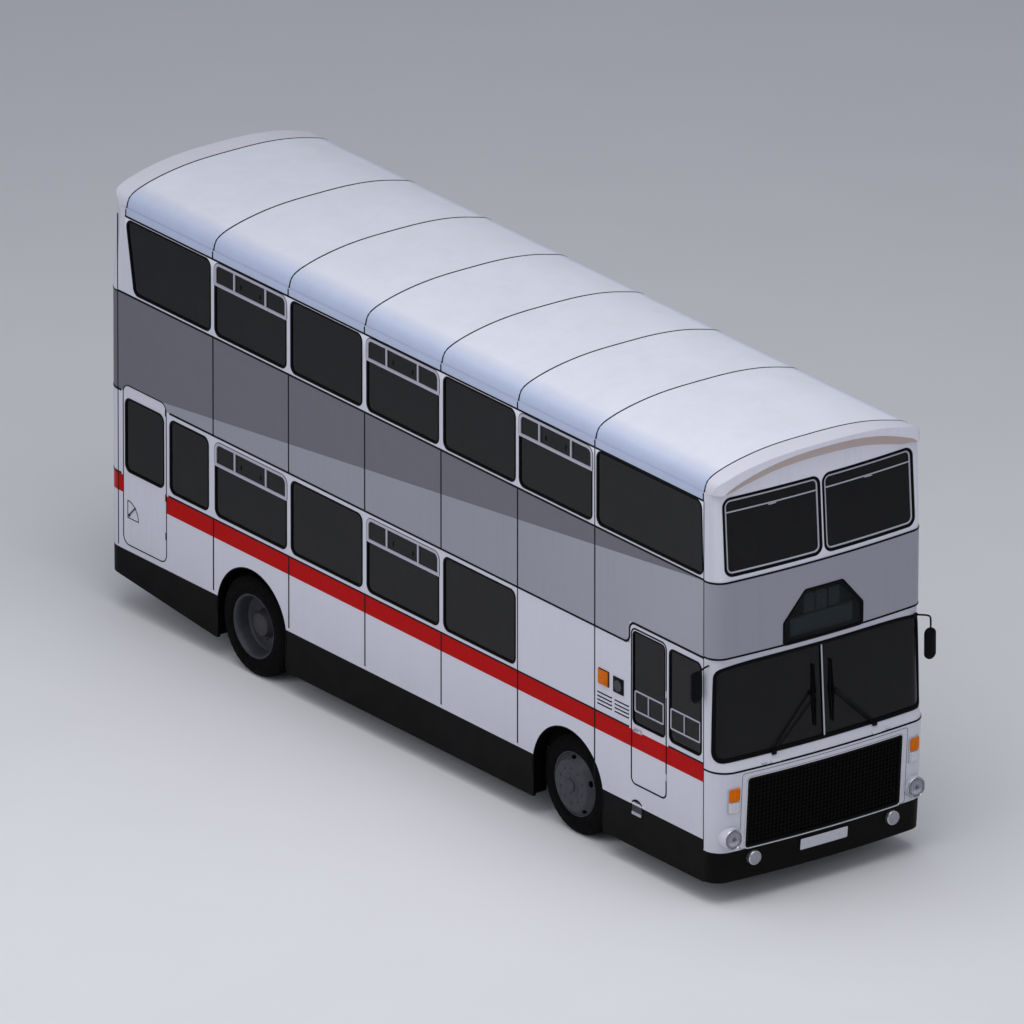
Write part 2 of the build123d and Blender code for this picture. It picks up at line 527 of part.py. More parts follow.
def leaf(x0, x1, y_mid, half, z_mid, rise, n, t=11.0):
    out = None
    for k in range(n):
        h = half * (1.0 - 0.14 * k)
        r = rise * (h / half) ** 2
        z = z_mid - k * t
        top = ThreePointArc((y_mid - h, z + r), (y_mid, z), (y_mid + h, z + r))
        bot = ThreePointArc((y_mid - h, z + r - t), (y_mid, z - t), (y_mid + h, z + r - t))
        face = make_face([top, bot, Line((y_mid - h, z + r), (y_mid - h, z + r - t)),
                          Line((y_mid + h, z + r), (y_mid + h, z + r - t))])
        one = along_x(face, x0, x1)
        out = one if out is None else out + one
    return out


springs = []
for s in (-1, 1):
    a, b = sorted((s * 397.0, s * 467.0))
    springs.append(leaf(a, b, FRONT_AXLE_Y, 748.0, 536.0, 26.0, 4, 12.0))
    a, b = sorted((s * 495.0, s * 570.0))
    springs.append(leaf(a, b, REAR_AXLE_Y, 788.0, 631.0, -60.0, 4, 12.0))
save("leaf_springs", springs)

# engine: one plain block beside the driver, between the rails
engine = block(-330.0, 330.0, -4700.0, -3640.0, 340.0, 1120.0)
engine = chamfer(engine.edges(), 25.0)
save("engine", engine)
gearbox = block(-190.0, 190.0, -3625.0, -3020.0, 400.0, 640.0)
gearbox = chamfer(gearbox.edges(), 20.0)
prop = rod_y(0.0, 530.0, 42.0, -3019.0, 2240.0) + rod_y(0.0, 530.0, 54.0, -2960.0, -2900.0) \
    + rod_y(0.0, 530.0, 54.0, 2180.0, 2240.0) + rod_y(0.0, 530.0, 54.0, -420.0, -340.0)
save("driveline", gearbox, prop)
tank = block(500.0, 1120.0, -1400.0, -240.0, 270.0, 530.0)
tank = fillet(tank.edges().filter_by(Axis.Y), 60.0)
save("fuel_tank", tank)

# ----------------------------------------------------------------- front axle
PIN_R = 22.0
axle = block(-790.0, 790.0, FRONT_AXLE_Y - 45.0, FRONT_AXLE_Y + 45.0, 400.0, 480.0)
axle = axle - block(-360.0, 360.0, FRONT_AXLE_Y - 60.0, FRONT_AXLE_Y - 14.0, 415.0, 465.0) \
    - block(-360.0, 360.0, FRONT_AXLE_Y + 14.0, FRONT_AXLE_Y + 60.0, 415.0, 465.0)
for s in (-1, 1):
    x0, x1 = sorted((s * 770.0, s * KINGPIN_X))
    axle = axle + block(x0, x1, FRONT_AXLE_Y - 45.0, FRONT_AXLE_Y + 45.0, 400.0, 590.0)
    axle = axle + rod_z(s * KINGPIN_X, FRONT_AXLE_Y, 45.0, 430.0, 590.0)
    axle = axle - block(s * KINGPIN_X - 76.0, s * KINGPIN_X + 76.0, FRONT_AXLE_Y - 60.0, FRONT_AXLE_Y + 60.0, 395.0, 430.0)
    axle = axle - rod_z(s * KINGPIN_X, FRONT_AXLE_Y, PIN_R + 0.05, 380.0, 650.0)
    a, b = sorted((s * 380.0, s * 484.0))
    axle = axle + block(a, b, FRONT_AXLE_Y - 70.0, FRONT_AXLE_Y + 70.0, 478.0, 488.0)
save("front_axle", axle)

ARM_Y = FRONT_AXLE_Y + 250.0
ROD_Z = 370.0


def knuckle(s):
    x = s * KINGPIN_X
    a, b = sorted((s * (KINGPIN_X - 34.0), s * 938.0))
    top = block(a, b, FRONT_AXLE_Y - 50.0, FRONT_AXLE_Y + 50.0, 596.0, 632.0)
    low = block(a, b, FRONT_AXLE_Y - 50.0, FRONT_AXLE_Y + 50.0, 388.0, 424.0)
    c, d = sorted((s * 912.0, s * 938.0))
    web = block(c, d, FRONT_AXLE_Y - 50.0, FRONT_AXLE_Y + 50.0, 388.0, 632.0)
    e, f = sorted((s * 930.0, s * 1120.0))
    stub = rod_x(FRONT_AXLE_Y, AXLE_Z, 45.0, e, f)
    plate_x = sorted((s * 938.0, s * 946.0))
    plate = rod_x(FRONT_AXLE_Y, AXLE_Z, 205.0, plate_x[0], plate_x[1])
    pin = rod_z(x, FRONT_AXLE_Y, PIN_R, 388.0, 632.0)
    arm = block(x - 20.0, x + 20.0, FRONT_AXLE_Y, ARM_Y, 388.0, 420.0) + rod_z(x, ARM_Y, 34.0, 388.0, 420.0)
    body = top + low + web + stub + plate + pin + arm
    return body + rod_z(x, ARM_Y, 14.0, ROD_Z - 22.0, 390.0)


save("knuckle_left", knuckle(1))
save("knuckle_right", knuckle(-1))
# the rod turns on the left pin; its right eye is open, wide of the right pin
rod = rod_x(ARM_Y, ROD_Z, 16.0, -KINGPIN_X + 30.0, KINGPIN_X - 20.0)
rod = rod + rod_z(KINGPIN_X, ARM_Y, 32.0, ROD_Z - 17.0, ROD_Z + 17.0) + rod_z(-KINGPIN_X, ARM_Y, 40.0, ROD_Z - 17.0, ROD_Z + 17.0)
rod = rod - rod_z(KINGPIN_X, ARM_Y, 14.05, ROD_Z - 40.0, ROD_Z + 40.0) - rod_z(-KINGPIN_X, ARM_Y, 20.0, ROD_Z - 40.0, ROD_Z + 40.0)
save("track_rod", rod)

# ------------------------------------------------------------------ rear axle
ra = rod_x(REAR_AXLE_Y, AXLE_Z, 58.0, -640.0, 640.0)
ra = ra + rod_x(REAR_AXLE_Y, AXLE_Z, 130.0, -150.0, 150.0)
ra = ra + rod_y(0.0, 530.0, 80.0, 2250.0, REAR_AXLE_Y)
ra = ra + rod_x(REAR_AXLE_Y, AXLE_Z, 48.0, -1040.0, 1040.0)
for s in (-1, 1):
    a, b = sorted((s * 490.0, s * 575.0))
    ra = ra + block(a, b, REAR_AXLE_Y - 70.0, REAR_AXLE_Y + 70.0, 555.0, 582.0)
save("rear_axle", ra)


# --------------------------------------------------------------------- wheels
def ring(points, x, y):
    """Solid of revolution about the wheel axis from (offset, radius) points."""
    face = Plane.XZ * Polygon(*points, align=None)
    solid = revolve(face, Axis.X, 360)
    return Pos(x, y, AXLE_Z) * solid


def tyre(x, y):
    w = TYRE_W / 2.0
    pts = [(-w + 18.0, BEAD_R), (-w + 4.0, 340.0), (-w, 400.0), (-w + 8.0, 460.0), (-w + 26.0, 497.0), (-w + 50.0, TYRE_R),
           (w - 50.0, TYRE_R), (w - 26.0, 497.0), (w - 8.0, 460.0), (w, 400.0), (w - 4.0, 340.0), (w - 18.0, BEAD_R)]
    return ring(pts, x, y)


def rim(x, y, s, disc, hub0, hub1, hub_r, bore, form=""):
    """Barrel with flanges; disc, hub0 and hub1 are offsets outwards from the tyre's centre plane.
    A convex disc stands outside the barrel on a cone; a dished one lies inside it, round a tapered hub."""
    w = TYRE_W / 2.0
    f0 = w - 14.0
    barrel = ring([(-f0, BARREL_R), (f0, BARREL_R), (f0, BEAD_R - 0.3), (-f0, BEAD_R - 0.3)], x, y)
    out = barrel
    if disc is not None:
        plate = ring([(s * disc, 60.0), (s * (disc + 14.0), 60.0), (s * (disc + 14.0), 205.0), (s * (disc - 12.0), BARREL_R + 0.5),
                      (s * (disc - 26.0), BARREL_R + 0.5), (s * disc, 203.0)], x, y)
        if form == "convex":
            plate = ring([(s * disc, 60.0), (s * (disc + 16.0), 60.0), (s * (disc + 16.0), 252.0), (s * f0, BEAD_R - 5.0),
                          (s * (f0 - 16.0), BEAD_R - 5.0), (s * (f0 - 16.0), BARREL_R + 4.0), (s * disc, 244.0)], x, y)
        hub = ring([(s * hub0, 0.0), (s * hub1, 0.0), (s * hub1, hub_r - 12.0), (s * (hub1 - 12.0), hub_r), (s * hub0, hub_r)], x, y)
        if form == "dished":
            plate = ring([(s * disc, 60.0), (s * (disc + 14.0), 60.0), (s * (disc + 14.0), 238.0), (s * (disc + 22.0), BARREL_R + 0.5),
                          (s * (disc + 6.0), BARREL_R + 0.5), (s * disc, 238.0)], x, y)
            hub = ring([(s * hub0, 0.0), (s * hub1, 0.0), (s * hub1, hub_r - 6.0), (s * (hub1 - 6.0), hub_r),
                        (s * (disc + 14.0), REAR_HUB_R), (s * hub0, REAR_HUB_R)], x, y)
        out = out + plate + hub
        a, b = sorted((x + s * (hub0 - 5.0), bore[1]))
        out = out - rod_x(y, AXLE_Z, bore[0], min(a, b), max(a, b))
        flange = ring([(s * (disc + 12.0), 0.0), (s * (disc + 30.0), 0.0), (s * (disc + 30.0), 118.0), (s * (disc + 12.0), 118.0)], x, y)
        keep = rod_x(y, AXLE_Z, bore[0], min(a, b), max(a, b))
        out = out + (flange - keep)
        for k in range(10):
            ang = math.radians(36.0 * k + 18.0)
            py, pz = y + STUD_R * math.cos(ang), AXLE_Z + STUD_R * math.sin(ang)
            c, d = sorted((x + s * (disc + 10.0), x + s * (disc + 38.0)))
            out = out + rod_x(py, pz, 13.0, c, d)
    return out


for side, s in (("left", 1), ("right", -1)):
    save(f"front_tyre_{side}", tyre(s * FRONT_WHEEL_X, FRONT_AXLE_Y))
    cap = ring([(s * 150.0, 0.0), (s * 202.0, 0.0), (s * 202.0, 54.0), (s * 192.0, 66.0), (s * 150.0, 66.0)], s * FRONT_WHEEL_X, FRONT_AXLE_Y)
    save(f"front_rim_{side}", rim(s * FRONT_WHEEL_X, FRONT_AXLE_Y, s, 165.0, -80.0, 190.0, 92.0, (45.05, s * 1125.0), "convex") + cap)
    save(f"rear_tyres_{side}", tyre(s * REAR_OUT_X, REAR_AXLE_Y), tyre(s * REAR_IN_X, REAR_AXLE_Y))
    outer = rim(s * REAR_OUT_X, REAR_AXLE_Y, s, -45.0, -230.0, 54.0, 113.0, (48.05, s * 1045.0), "dished")
    inner = rim(s * REAR_IN_X, REAR_AXLE_Y, s, None, 0, 0, 0, None)
    # the inner rim's plate is carried by the same hub
    link = ring([(s * 60.0, BARREL_R + 0.5), (s * 76.0, BARREL_R + 0.5), (s * 160.0, 168.0), (s * 160.0, 100.0), (s * 146.0, 100.0),
                 (s * 146.0, 166.0)], s * REAR_IN_X, REAR_AXLE_Y)
    both_rims = outer + inner + link
    both_rims = both_rims - rod_x(REAR_AXLE_Y, AXLE_Z, 48.05, min(s * 600.0, s * 1045.0), max(s * 600.0, s * 1045.0))
    save(f"rear_rims_{side}", both_rims)

# ---------------------------------------------------------------------- doors
DOOR_T = 42.0


def hinged_door(box, window):
    skin = along_x(grown(box, -3.0) - grown(window, 0.0), -HALF, -HALF + DOOR_T)
    glass = along_x(grown(window, -1.0), -GX1, -GX0)
    return skin, glass


DD_WIN = (-4012.0, -3517.0, 1496.0, 2433.0, 45.0)
ED_WIN = (3958.0, 4569.0, 1485.0, 2233.0, WIN_R)
skin, glass = hinged_door(DRIVER_DOOR, DD_WIN)
save("driver_door", skin)
save("driver_door_window", glass)
skin, glass = hinged_door(EMERGENCY_DOOR, ED_WIN)
save("emergency_door", skin)
save("emergency_door_window", glass)

LEAF_X0, LEAF_X1 = 1210.0, 1245.0
LEAF_Z0, LEAF_Z1 = 346.0, 2395.0
LEAVES = {"front": (-4397.0, -3893.0), "rear": (-3887.0, -3383.0)}
for name, (y0, y1) in LEAVES.items():
    frame = rect(y0, y1, LEAF_Z0, LEAF_Z1, 10.0)
    hole = (y0 + 55.0, y1 - 55.0, 900.0, LEAF_Z1 - 60.0, 40.0)
    hole2 = (y0 + 55.0, y1 - 55.0, LEAF_Z0 + 90.0, 840.0, 40.0)
    save(f"entrance_leaf_{name}", along_x(frame - grown(hole, 0.0) - grown(hole2, 0.0), LEAF_X0, LEAF_X1))
    save(f"entrance_glass_{name}", along_x(grown(hole, -1.0), 1225.0, 1231.0), along_x(grown(hole2, -1.0), 1225.0, 1231.0))

# ------------------------------------------------------------ mirrors, wipers
MIRROR_X = 1400.0
near = tube([(1150.0, -4775.0, 2420.0), (1251.0, -4830.0, 2402.0), (1335.0, -4790.0, 2320.0), (1335.0, -4780.0, 2240.0)], 9.0)
head = Pos(1335.0, -4780.0, 2080.0) * Box(130.0, 50.0, 320.0)
head = fillet(head.edges().filter_by(Axis.Y), 50.0)
off = tube([(-1225.0, -4680.0, 2450.0), (-1330.0, -4690.0, 2430.0), (-1335.0, -4630.0, 2380.0)], 9.0)
head_o = Pos(-1335.0, -4625.0, 2230.0) * Box(130.0, 50.0, 320.0)
head_o = fillet(head_o.edges().filter_by(Axis.Y), 50.0)
save("mirrors", (near + head) - front_panel, (off + head_o) - front_panel)

wipers = []
for s in (-1, 1):
    arm_a = tube([(s * 600.0, -4885.0, 1440.0), (s * 600.0, -4905.0, 1452.0), (s * 120.0, -4878.0, 1935.0)], 7.0)
    blade = tube([(s * 105.0, -4885.0, 1620.0), (s * 105.0, -4850.0, 2240.0)], 8.0)
    wipers += [arm_a + blade]
save("wipers", wipers)

# ------------------------------------------------------------------- interior
def cushion(x0, x1, y0, y1, z0, z1, r=25.0):
    c = block(x0, x1, y0, y1, z0, z1)
    return fillet(c.edges(), r)


cushions, frames = [], []


def seat(x0, x1, y, z, facing=-1.0):
    """A two-person seat whose front edge is at y, facing -Y; z is the floor under it."""
    cushions.append(cushion(x0, x1, y, y + 430.0, z + 360.0, z + 450.0))
    back = cushion(x0, x1, 0.0, 75.0, 0.0, 560.0)
    back = Pos(0, y + 455.0, z + 455.0) * Rot(-8, 0, 0) * back
    cushions.append(back)
    xm = (x0 + x1) / 2.0
    frames.append(block(xm - 300.0, xm - 270.0, y + 60.0, y + 380.0, z, z + 358.0)
                  + block(xm + 270.0, xm + 300.0, y + 60.0, y + 380.0, z, z + 358.0)
                  + block(xm - 300.0, xm + 300.0, y + 180.0, y + 230.0, z + 320.0, z + 358.0))


SEAT_X0, SEAT_X1 = 300.0, 1170.0
for k in range(5):
    y = -1620.0 + 700.0 * k
    seat(SEAT_X0, SEAT_X1, y, FLOOR_Z)
    seat(-SEAT_X1, -SEAT_X0, y, FLOOR_Z)
for y in (3250.0, 3950.0):
    seat(SEAT_X0, SEAT_X1, y, FLOOR_Z)
    if y < 3500.0:
        seat(-SEAT_X1, -SEAT_X0, y, FLOOR_Z)
for k in range(12):
    y = -4050.0 + 700.0 * k
    if y < 4300.0:
        seat(SEAT_X0, SEAT_X1, y, UPPER_Z)
        if y > -1870.0 + 40.0:
            seat(-SEAT_X1, -SEAT_X0, y, UPPER_Z)
save("passenger_seats", cushions)
save("seat_frames", frames)

ds = cushion(-990.0, -510.0, -4130.0, -3660.0, 1270.0, 1370.0, 30.0)
db = Pos(-750.0, -3620.0, 1660.0) * Rot(-8, 0, 0) * fillet(Box(460.0, 90.0, 560.0).edges(), 28.0)
dp = block(-880.0, -620.0, -4020.0, -3740.0, CAB_FLOOR_Z, 1268.0)
save("driver_seat", ds, db, dp)

hood = block(-372.0, 372.0, -4715.0, -3525.0, CAB_FLOOR_Z - 148.0, 1180.0) - block(-350.0, 350.0, -4720.0, -3547.0, 600.0, 1158.0)
dash = along_x(poly([(-4740.0, 1160.0), (-4560.0, 1160.0), (-4480.0, 1380.0), (-4560.0, 1455.0), (-4740.0, 1430.0)]), -1150.0, -380.0)
dash = dash + along_x(poly([(-4740.0, CAB_FLOOR_Z + 2.0), (-4700.0, CAB_FLOOR_Z + 2.0), (-4700.0, 1200.0), (-4740.0, 1200.0)]), -1150.0, -380.0)
dash = dash + along_x(poly([(-4740.0, 1160.0), (-4620.0, 1160.0), (-4620.0, 1430.0), (-4740.0, 1430.0)]), -380.0, 1100.0)
part_wall = block(-INNER, -400.0, -3478.0, -3456.0, FLOOR_Z, UPPER_Z - UPPER_T)
save("cab_fittings", hood + dash, part_wall)

sw_plane = Pos(-750.0, -4370.0, 1560.0) * Rot(-28, 0, 0)
wheel = sw_plane * Torus(225.0, 14.0)
wheel = wheel + sw_plane * Cylinder(45.0, 30.0)
for k in range(3):
    wheel = wheel + sw_plane * Rot(0, 0, 90.0 + 120.0 * k) * Pos(118.0, 0, 0) * Box(220.0, 26.0, 10.0)
column = Pos(-750.0, -4370.0, 1560.0) * Rot(-28, 0, 0) * Pos(0, 0, -110.0) * Cylinder(28.0, 190.0)
save("steering_wheel", wheel + column)

# staircase over the offside front wheel box, rising towards the rear
RISE = (UPPER_Z - FLOOR_Z) / 9.0
GO = 195.0
ST_Y0 = -3430.0
top_pts, low_pts = [], []
for k in range(8):
    z = FLOOR_Z + RISE * (k + 1)
    y = ST_Y0 + GO * k
    top_pts += [(y, z - RISE if k == 0 else z - RISE), (y, z), (y + GO, z)]
    low_pts += [(y + 22.0, z - 26.0 if k else FLOOR_Z), (y + 22.0, z - 26.0), (y + GO + 22.0, z - 26.0)]
outline = []
for p in top_pts:
    if not outline or outline[-1] != p:
        outline.append(p)
under = []
for p in low_pts:
    if not under or under[-1] != p:
        under.append(p)
under[-1] = (ST_Y0 + GO * 8, under[-1][1])
stairs = along_x(poly(outline + list(reversed(under))), -INNER + 5.0, -600.0)
stairs = stairs - block(-1400.0, -(WB_F[0] - WB_T), WB_F[1] - WB_T, WB_F[2] + WB_T, 600.0, WB_TOP)
side = poly([(ST_Y0, FLOOR_Z), (ST_Y0 + 8 * GO + 20.0, FLOOR_Z), (ST_Y0 + 8 * GO + 20.0, 3450.0), (-3560.0, 3450.0), (-3560.0, 2620.0),
             (ST_Y0, 2480.0)])
guard = along_x(poly([(-3432.0, 1500.0), (-3120.0, 1130.0), (-1872.0, 1130.0), (-1872.0, 3450.0), (-3560.0, 3450.0), (-3560.0, 2620.0),
                      (-3432.0, 2500.0)]), -600.0, -578.0)
save("staircase", stairs + guard)
print("parts written")
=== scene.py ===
import bpy, bmesh, math, random
from mathutils import Vector, Matrix
from mathutils.bvhtree import BVHTree


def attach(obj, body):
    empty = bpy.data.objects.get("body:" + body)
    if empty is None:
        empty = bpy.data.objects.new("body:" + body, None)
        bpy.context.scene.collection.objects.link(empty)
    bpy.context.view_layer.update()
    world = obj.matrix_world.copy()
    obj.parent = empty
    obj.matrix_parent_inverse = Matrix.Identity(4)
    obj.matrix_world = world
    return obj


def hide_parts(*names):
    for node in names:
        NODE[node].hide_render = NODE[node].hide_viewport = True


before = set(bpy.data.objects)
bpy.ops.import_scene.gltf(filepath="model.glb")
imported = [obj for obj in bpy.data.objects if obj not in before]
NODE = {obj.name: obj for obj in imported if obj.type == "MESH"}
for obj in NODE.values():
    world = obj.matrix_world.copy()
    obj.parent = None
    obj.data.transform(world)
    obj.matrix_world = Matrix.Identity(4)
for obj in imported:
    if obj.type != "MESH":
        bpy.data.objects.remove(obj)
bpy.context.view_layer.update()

scene = bpy.context.scene
H = 1.25                      # half of the body width
rnd = random.Random(7)

# =============================================================== materials
def lin(r, g, b):
    f = lambda c: (c / 255.0) / 12.92 if c <= 10.3 else ((c / 255.0 + 0.055) / 1.055) ** 2.4
    return (f(r), f(g), f(b), 1.0)


class Mat:
    def __init__(self, name, base=(0.5, 0.5, 0.5, 1.0), rough=0.5, metal=0.0, coat=0.0, spec=0.5, alpha=1.0, sheen=0.0):
        self.m = bpy.data.materials.new(name)
        self.m.use_nodes = True
        t = self.t = self.m.node_tree
        t.nodes.clear()
        out = t.nodes.new("ShaderNodeOutputMaterial")
        self.p = t.nodes.new("ShaderNodeBsdfPrincipled")
        t.links.new(self.p.outputs[0], out.inputs[0])
        i = self.p.inputs
        i["Base Color"].default_value = base
        i["Roughness"].default_value = rough
        i["Metallic"].default_value = metal
        i["Specular IOR Level"].default_value = spec
        i["Coat Weight"].default_value = coat
        i["Coat Roughness"].default_value = 0.12
        i["Alpha"].default_value = alpha
        i["Sheen Weight"].default_value = sheen
        i["Sheen Roughness"].default_value = 0.5
        tc = self.tc = t.nodes.new("ShaderNodeTexCoord")
        self.pos = tc.outputs["Object"]
        sp = t.nodes.new("ShaderNodeSeparateXYZ")
        t.links.new(self.pos, sp.inputs[0])
        self.x, self.y, self.z = sp.outputs
        self.last = None
        self.basec = base
        self.rough0 = rough

    def put(self, sock, v):
        if hasattr(v, "is_linked") or isinstance(v, bpy.types.NodeSocket):
            self.t.links.new(v, sock)
        else:
            sock.default_value = v

    def math(self, op, a, b=None, c=None, clamp=False):
        n = self.t.nodes.new("ShaderNodeMath")
        n.operation = op
        n.use_clamp = clamp
        self.put(n.inputs[0], a)
        if b is not None:
            self.put(n.inputs[1], b)
        if c is not None:
            self.put(n.inputs[2], c)
        return n.outputs[0]

    def mul(self, a, b):
        return self.math("MULTIPLY", a, b)

    def mapr(self, v, a, b, c=0.0, d=1.0):
        n = self.t.nodes.new("ShaderNodeMapRange")
        n.clamp = True
        self.put(n.inputs["Value"], v)
        n.inputs["From Min"].default_value = a
        n.inputs["From Max"].default_value = b
        n.inputs["To Min"].default_value = c
        n.inputs["To Max"].default_value = d
        return n.outputs[0]

    def between(self, v, a, b):
        return self.mul(self.math("GREATER_THAN", v, a), self.math("LESS_THAN", v, b))

    def scaled(self, sx, sy, sz):
        n = self.t.nodes.new("ShaderNodeMapping")
        self.t.links.new(self.pos, n.inputs[0])
        n.inputs["Scale"].default_value = (sx, sy, sz)
        return n.outputs[0]

    def noise(self, scale, detail=2.0, rough=0.5, vec=None, dist=0.0):
        n = self.t.nodes.new("ShaderNodeTexNoise")
        self.t.links.new(vec if vec is not None else self.pos, n.inputs["Vector"])
        n.inputs["Scale"].default_value = scale
        n.inputs["Detail"].default_value = detail
        n.inputs["Roughness"].default_value = rough
        n.inputs["Distortion"].default_value = dist
        return n.outputs["Fac"]

    def voronoi(self, scale, vec=None, feature="F1"):
        n = self.t.nodes.new("ShaderNodeTexVoronoi")
        n.feature = feature
        self.t.links.new(vec if vec is not None else self.pos, n.inputs["Vector"])
        n.inputs["Scale"].default_value = scale
        return n.outputs["Distance"]

    def wave(self, scale, axis="X", vec=None, dist=0.0, kind="BANDS", profile="SIN"):
        n = self.t.nodes.new("ShaderNodeTexWave")
        n.wave_type = kind
        n.wave_profile = profile
        n.bands_direction = axis
        self.t.links.new(vec if vec is not None else self.pos, n.inputs["Vector"])
        n.inputs["Scale"].default_value = scale
        n.inputs["Distortion"].default_value = dist
        return n.outputs["Fac"]

    def mix(self, fac, a, b, how="MIX"):
        n = self.t.nodes.new("ShaderNodeMix")
        n.data_type = "RGBA"
        n.blend_type = how
        self.put(n.inputs[0], fac)
        self.put(n.inputs[6], a)
        self.put(n.inputs[7], b)
        return n.outputs[2]

    def base(self, v):
        self.put(self.p.inputs["Base Color"], v)

    def rough(self, v):
        self.put(self.p.inputs["Roughness"], v)

    def bump(self, height, strength=0.3, dist=0.002):
        n = self.t.nodes.new("ShaderNodeBump")
        n.inputs["Strength"].default_value = strength
        n.inputs["Distance"].default_value = dist
        self.put(n.inputs["Height"], height)
        if self.last is not None:
            self.t.links.new(self.last, n.inputs["Normal"])
        self.last = n.outputs[0]
        self.put(self.p.inputs["Normal"], self.last)


WHITE = lin(212, 212, 224)
# roof white made lighter and bluer than the side white: the same white paint with a painted bluish sheen
ROOF_WHITE_PAINTED_SHEEN = lin(222, 224, 236)
DARKB = lin(108, 108, 118)
LIGHTB = lin(152, 152, 164)
RED = lin(182, 2, 3)
SKIRT = lin(5, 5, 6)
SEAM = lin(6, 14, 17)
DIRT = (0.115, 0.098, 0.078, 1.0)
DUST = (0.30, 0.28, 0.25, 1.0)


def paint(name, zones, rough=0.34, coat=0.06, grime=0.5, streaks=0.07, top_dust=0.0, spec=0.35, chalk=1.0):
    """Coach paint: faint fading, road film rising from the bottom, rain streaks, orange peel."""
    M = Mat(name, rough=rough, coat=coat, spec=spec)
    c = zones(M)
    fade = M.mapr(M.noise(0.55, 3.0, 0.55), 0.35, 0.7, 0.0, 0.10)
    c = M.mix(fade, c, M.mix(1.0, c, (0.80, 0.80, 0.82, 1.0), "MULTIPLY"))
    blotch = M.mapr(M.noise(7.0, 4.0, 0.6), 0.45, 0.8, 0.0, 0.05 * chalk)
    c = M.mix(blotch, c, DUST)
    streak = M.mapr(M.noise(1.0, 3.0, 0.6, M.scaled(26.0, 26.0, 0.9)), 0.52, 0.80, 0.0, streaks)
    c = M.mix(streak, c, DIRT)
    low = M.math("POWER", M.mapr(M.z, 1.25, 0.15), 1.8)
    film = M.mul(low, M.mapr(M.noise(2.2, 5.0, 0.62, M.scaled(1.0, 1.0, 0.55)), 0.3, 0.75, 0.25, 1.0))
    c = M.mix(M.mul(film, grime), c, DIRT)
    if top_dust:
        tn = M.mapr(M.noise(3.0, 5.0, 0.6), 0.40, 0.75, 0.0, top_dust)
        c = M.mix(tn, c, DUST)
    M.base(c)
    r = M.math("ADD", M.mapr(M.noise(5.0, 3.0), 0.3, 0.7, rough - 0.03, rough + 0.06), M.mul(film, 0.30))
    M.rough(r)
    M.bump(M.noise(420.0, 1.0), 0.04, 0.0006)
    M.bump(M.noise(1.4, 1.0), 0.10, 0.006)
    return M.m


def z_white(M):
    return WHITE


def z_lower(M):
    return M.mix(M.between(M.z, 1.240, 1.421), WHITE, RED)


def z_upper(M):
    line = M.math("MULTIPLY_ADD", M.y, -0.10824, 2.38 + 3.9 * 0.10824)
    # lower grey of the two-tone band lightened towards the front: painted light
    light = M.mix(M.mapr(M.y, -1.5, -4.4), LIGHTB, lin(164, 164, 175))
    tone = M.mix(M.math("GREATER_THAN", M.z, line), light, DARKB)
    # white lightened close to the cantrail: painted light over the shade cast by the roof overhang
    white = M.mix(M.mapr(M.z, 3.9, 4.09), WHITE, lin(236, 236, 247))
    return M.mix(M.math("LESS_THAN", M.z, 3.308), white, tone)


def z_roof(M):
    # darker, bluer roof shoulders along both cantrails: painted shade
    edge = M.mapr(M.math("ABSOLUTE", M.x), 1.02, 1.2)
    return M.mix(edge, ROOF_WHITE_PAINTED_SHEEN, lin(186, 197, 224))


def z_dome(M):
    """White dome, lightened where it faces forward (painted light); the downward-facing recess at its front lip is
    painted a warm stone colour as shade lit by bounce light from the ground.
    """
    n = M.t.nodes.new("ShaderNodeSeparateXYZ")
    M.t.links.new(M.tc.outputs["Normal"], n.inputs[0])
    # downward-facing faces at the front lip: painted shade tinted by bounce light from the ground
    under = M.mul(M.mapr(n.outputs[2], -0.06, -0.30), M.math("LESS_THAN", M.y, -4.5))
    # forward-facing faces lightened: painted light
    wall = M.mix(M.mapr(n.outputs[1], -0.5, -0.9), WHITE, lin(228, 228, 240))
    return M.mix(under, wall, lin(196, 176, 170))


def z_rear(M):
    c = M.mix(M.between(M.z, 1.240, 1.421), WHITE, RED)
    return M.mix(M.math("GREATER_THAN", M.z, 2.29), c, DARKB)


paint_white = paint("paint_white", z_white)
paint_lower = paint("paint_lower_side", z_lower, spec=0.05, coat=0.015, streaks=0.03, chalk=0.1, grime=0.42)
paint_upper = paint("paint_upper_side", z_upper, grime=0.0, spec=0.2)
paint_rear = paint("paint_rear", z_rear, coat=0.02, spec=0.08, streaks=0.05, chalk=0.4)
paint_front = paint("paint_front", z_white, grime=0.35)
paint_band = paint("paint_band", lambda M: LIGHTB, grime=0.0)
paint_dome = paint("paint_dome", z_dome, grime=0.0)
paint_roof = paint("paint_roof", z_roof, rough=0.42, coat=0.04, grime=0.0, streaks=0.04, top_dust=0.08)
paint_skirt = paint("paint_skirt", lambda M: SKIRT, rough=0.42, coat=0.0, grime=0.035, streaks=0.008, spec=0.07, chalk=0.06)


def rubber(name, rgb=(10, 10, 11), rough=0.55):
    M = Mat(name, lin(*rgb), rough, spec=0.08)
    c = M.mix(M.mapr(M.noise(30.0, 4.0, 0.6), 0.4, 0.8, 0.0, 0.15), lin(*rgb), lin(24, 23, 22))
    M.base(c)
    M.rough(M.mapr(M.noise(60.0, 2.0), 0.3, 0.7, rough - 0.08, rough + 0.1))
    M.bump(M.noise(900.0, 2.0), 0.15, 0.0005)
    return M.m


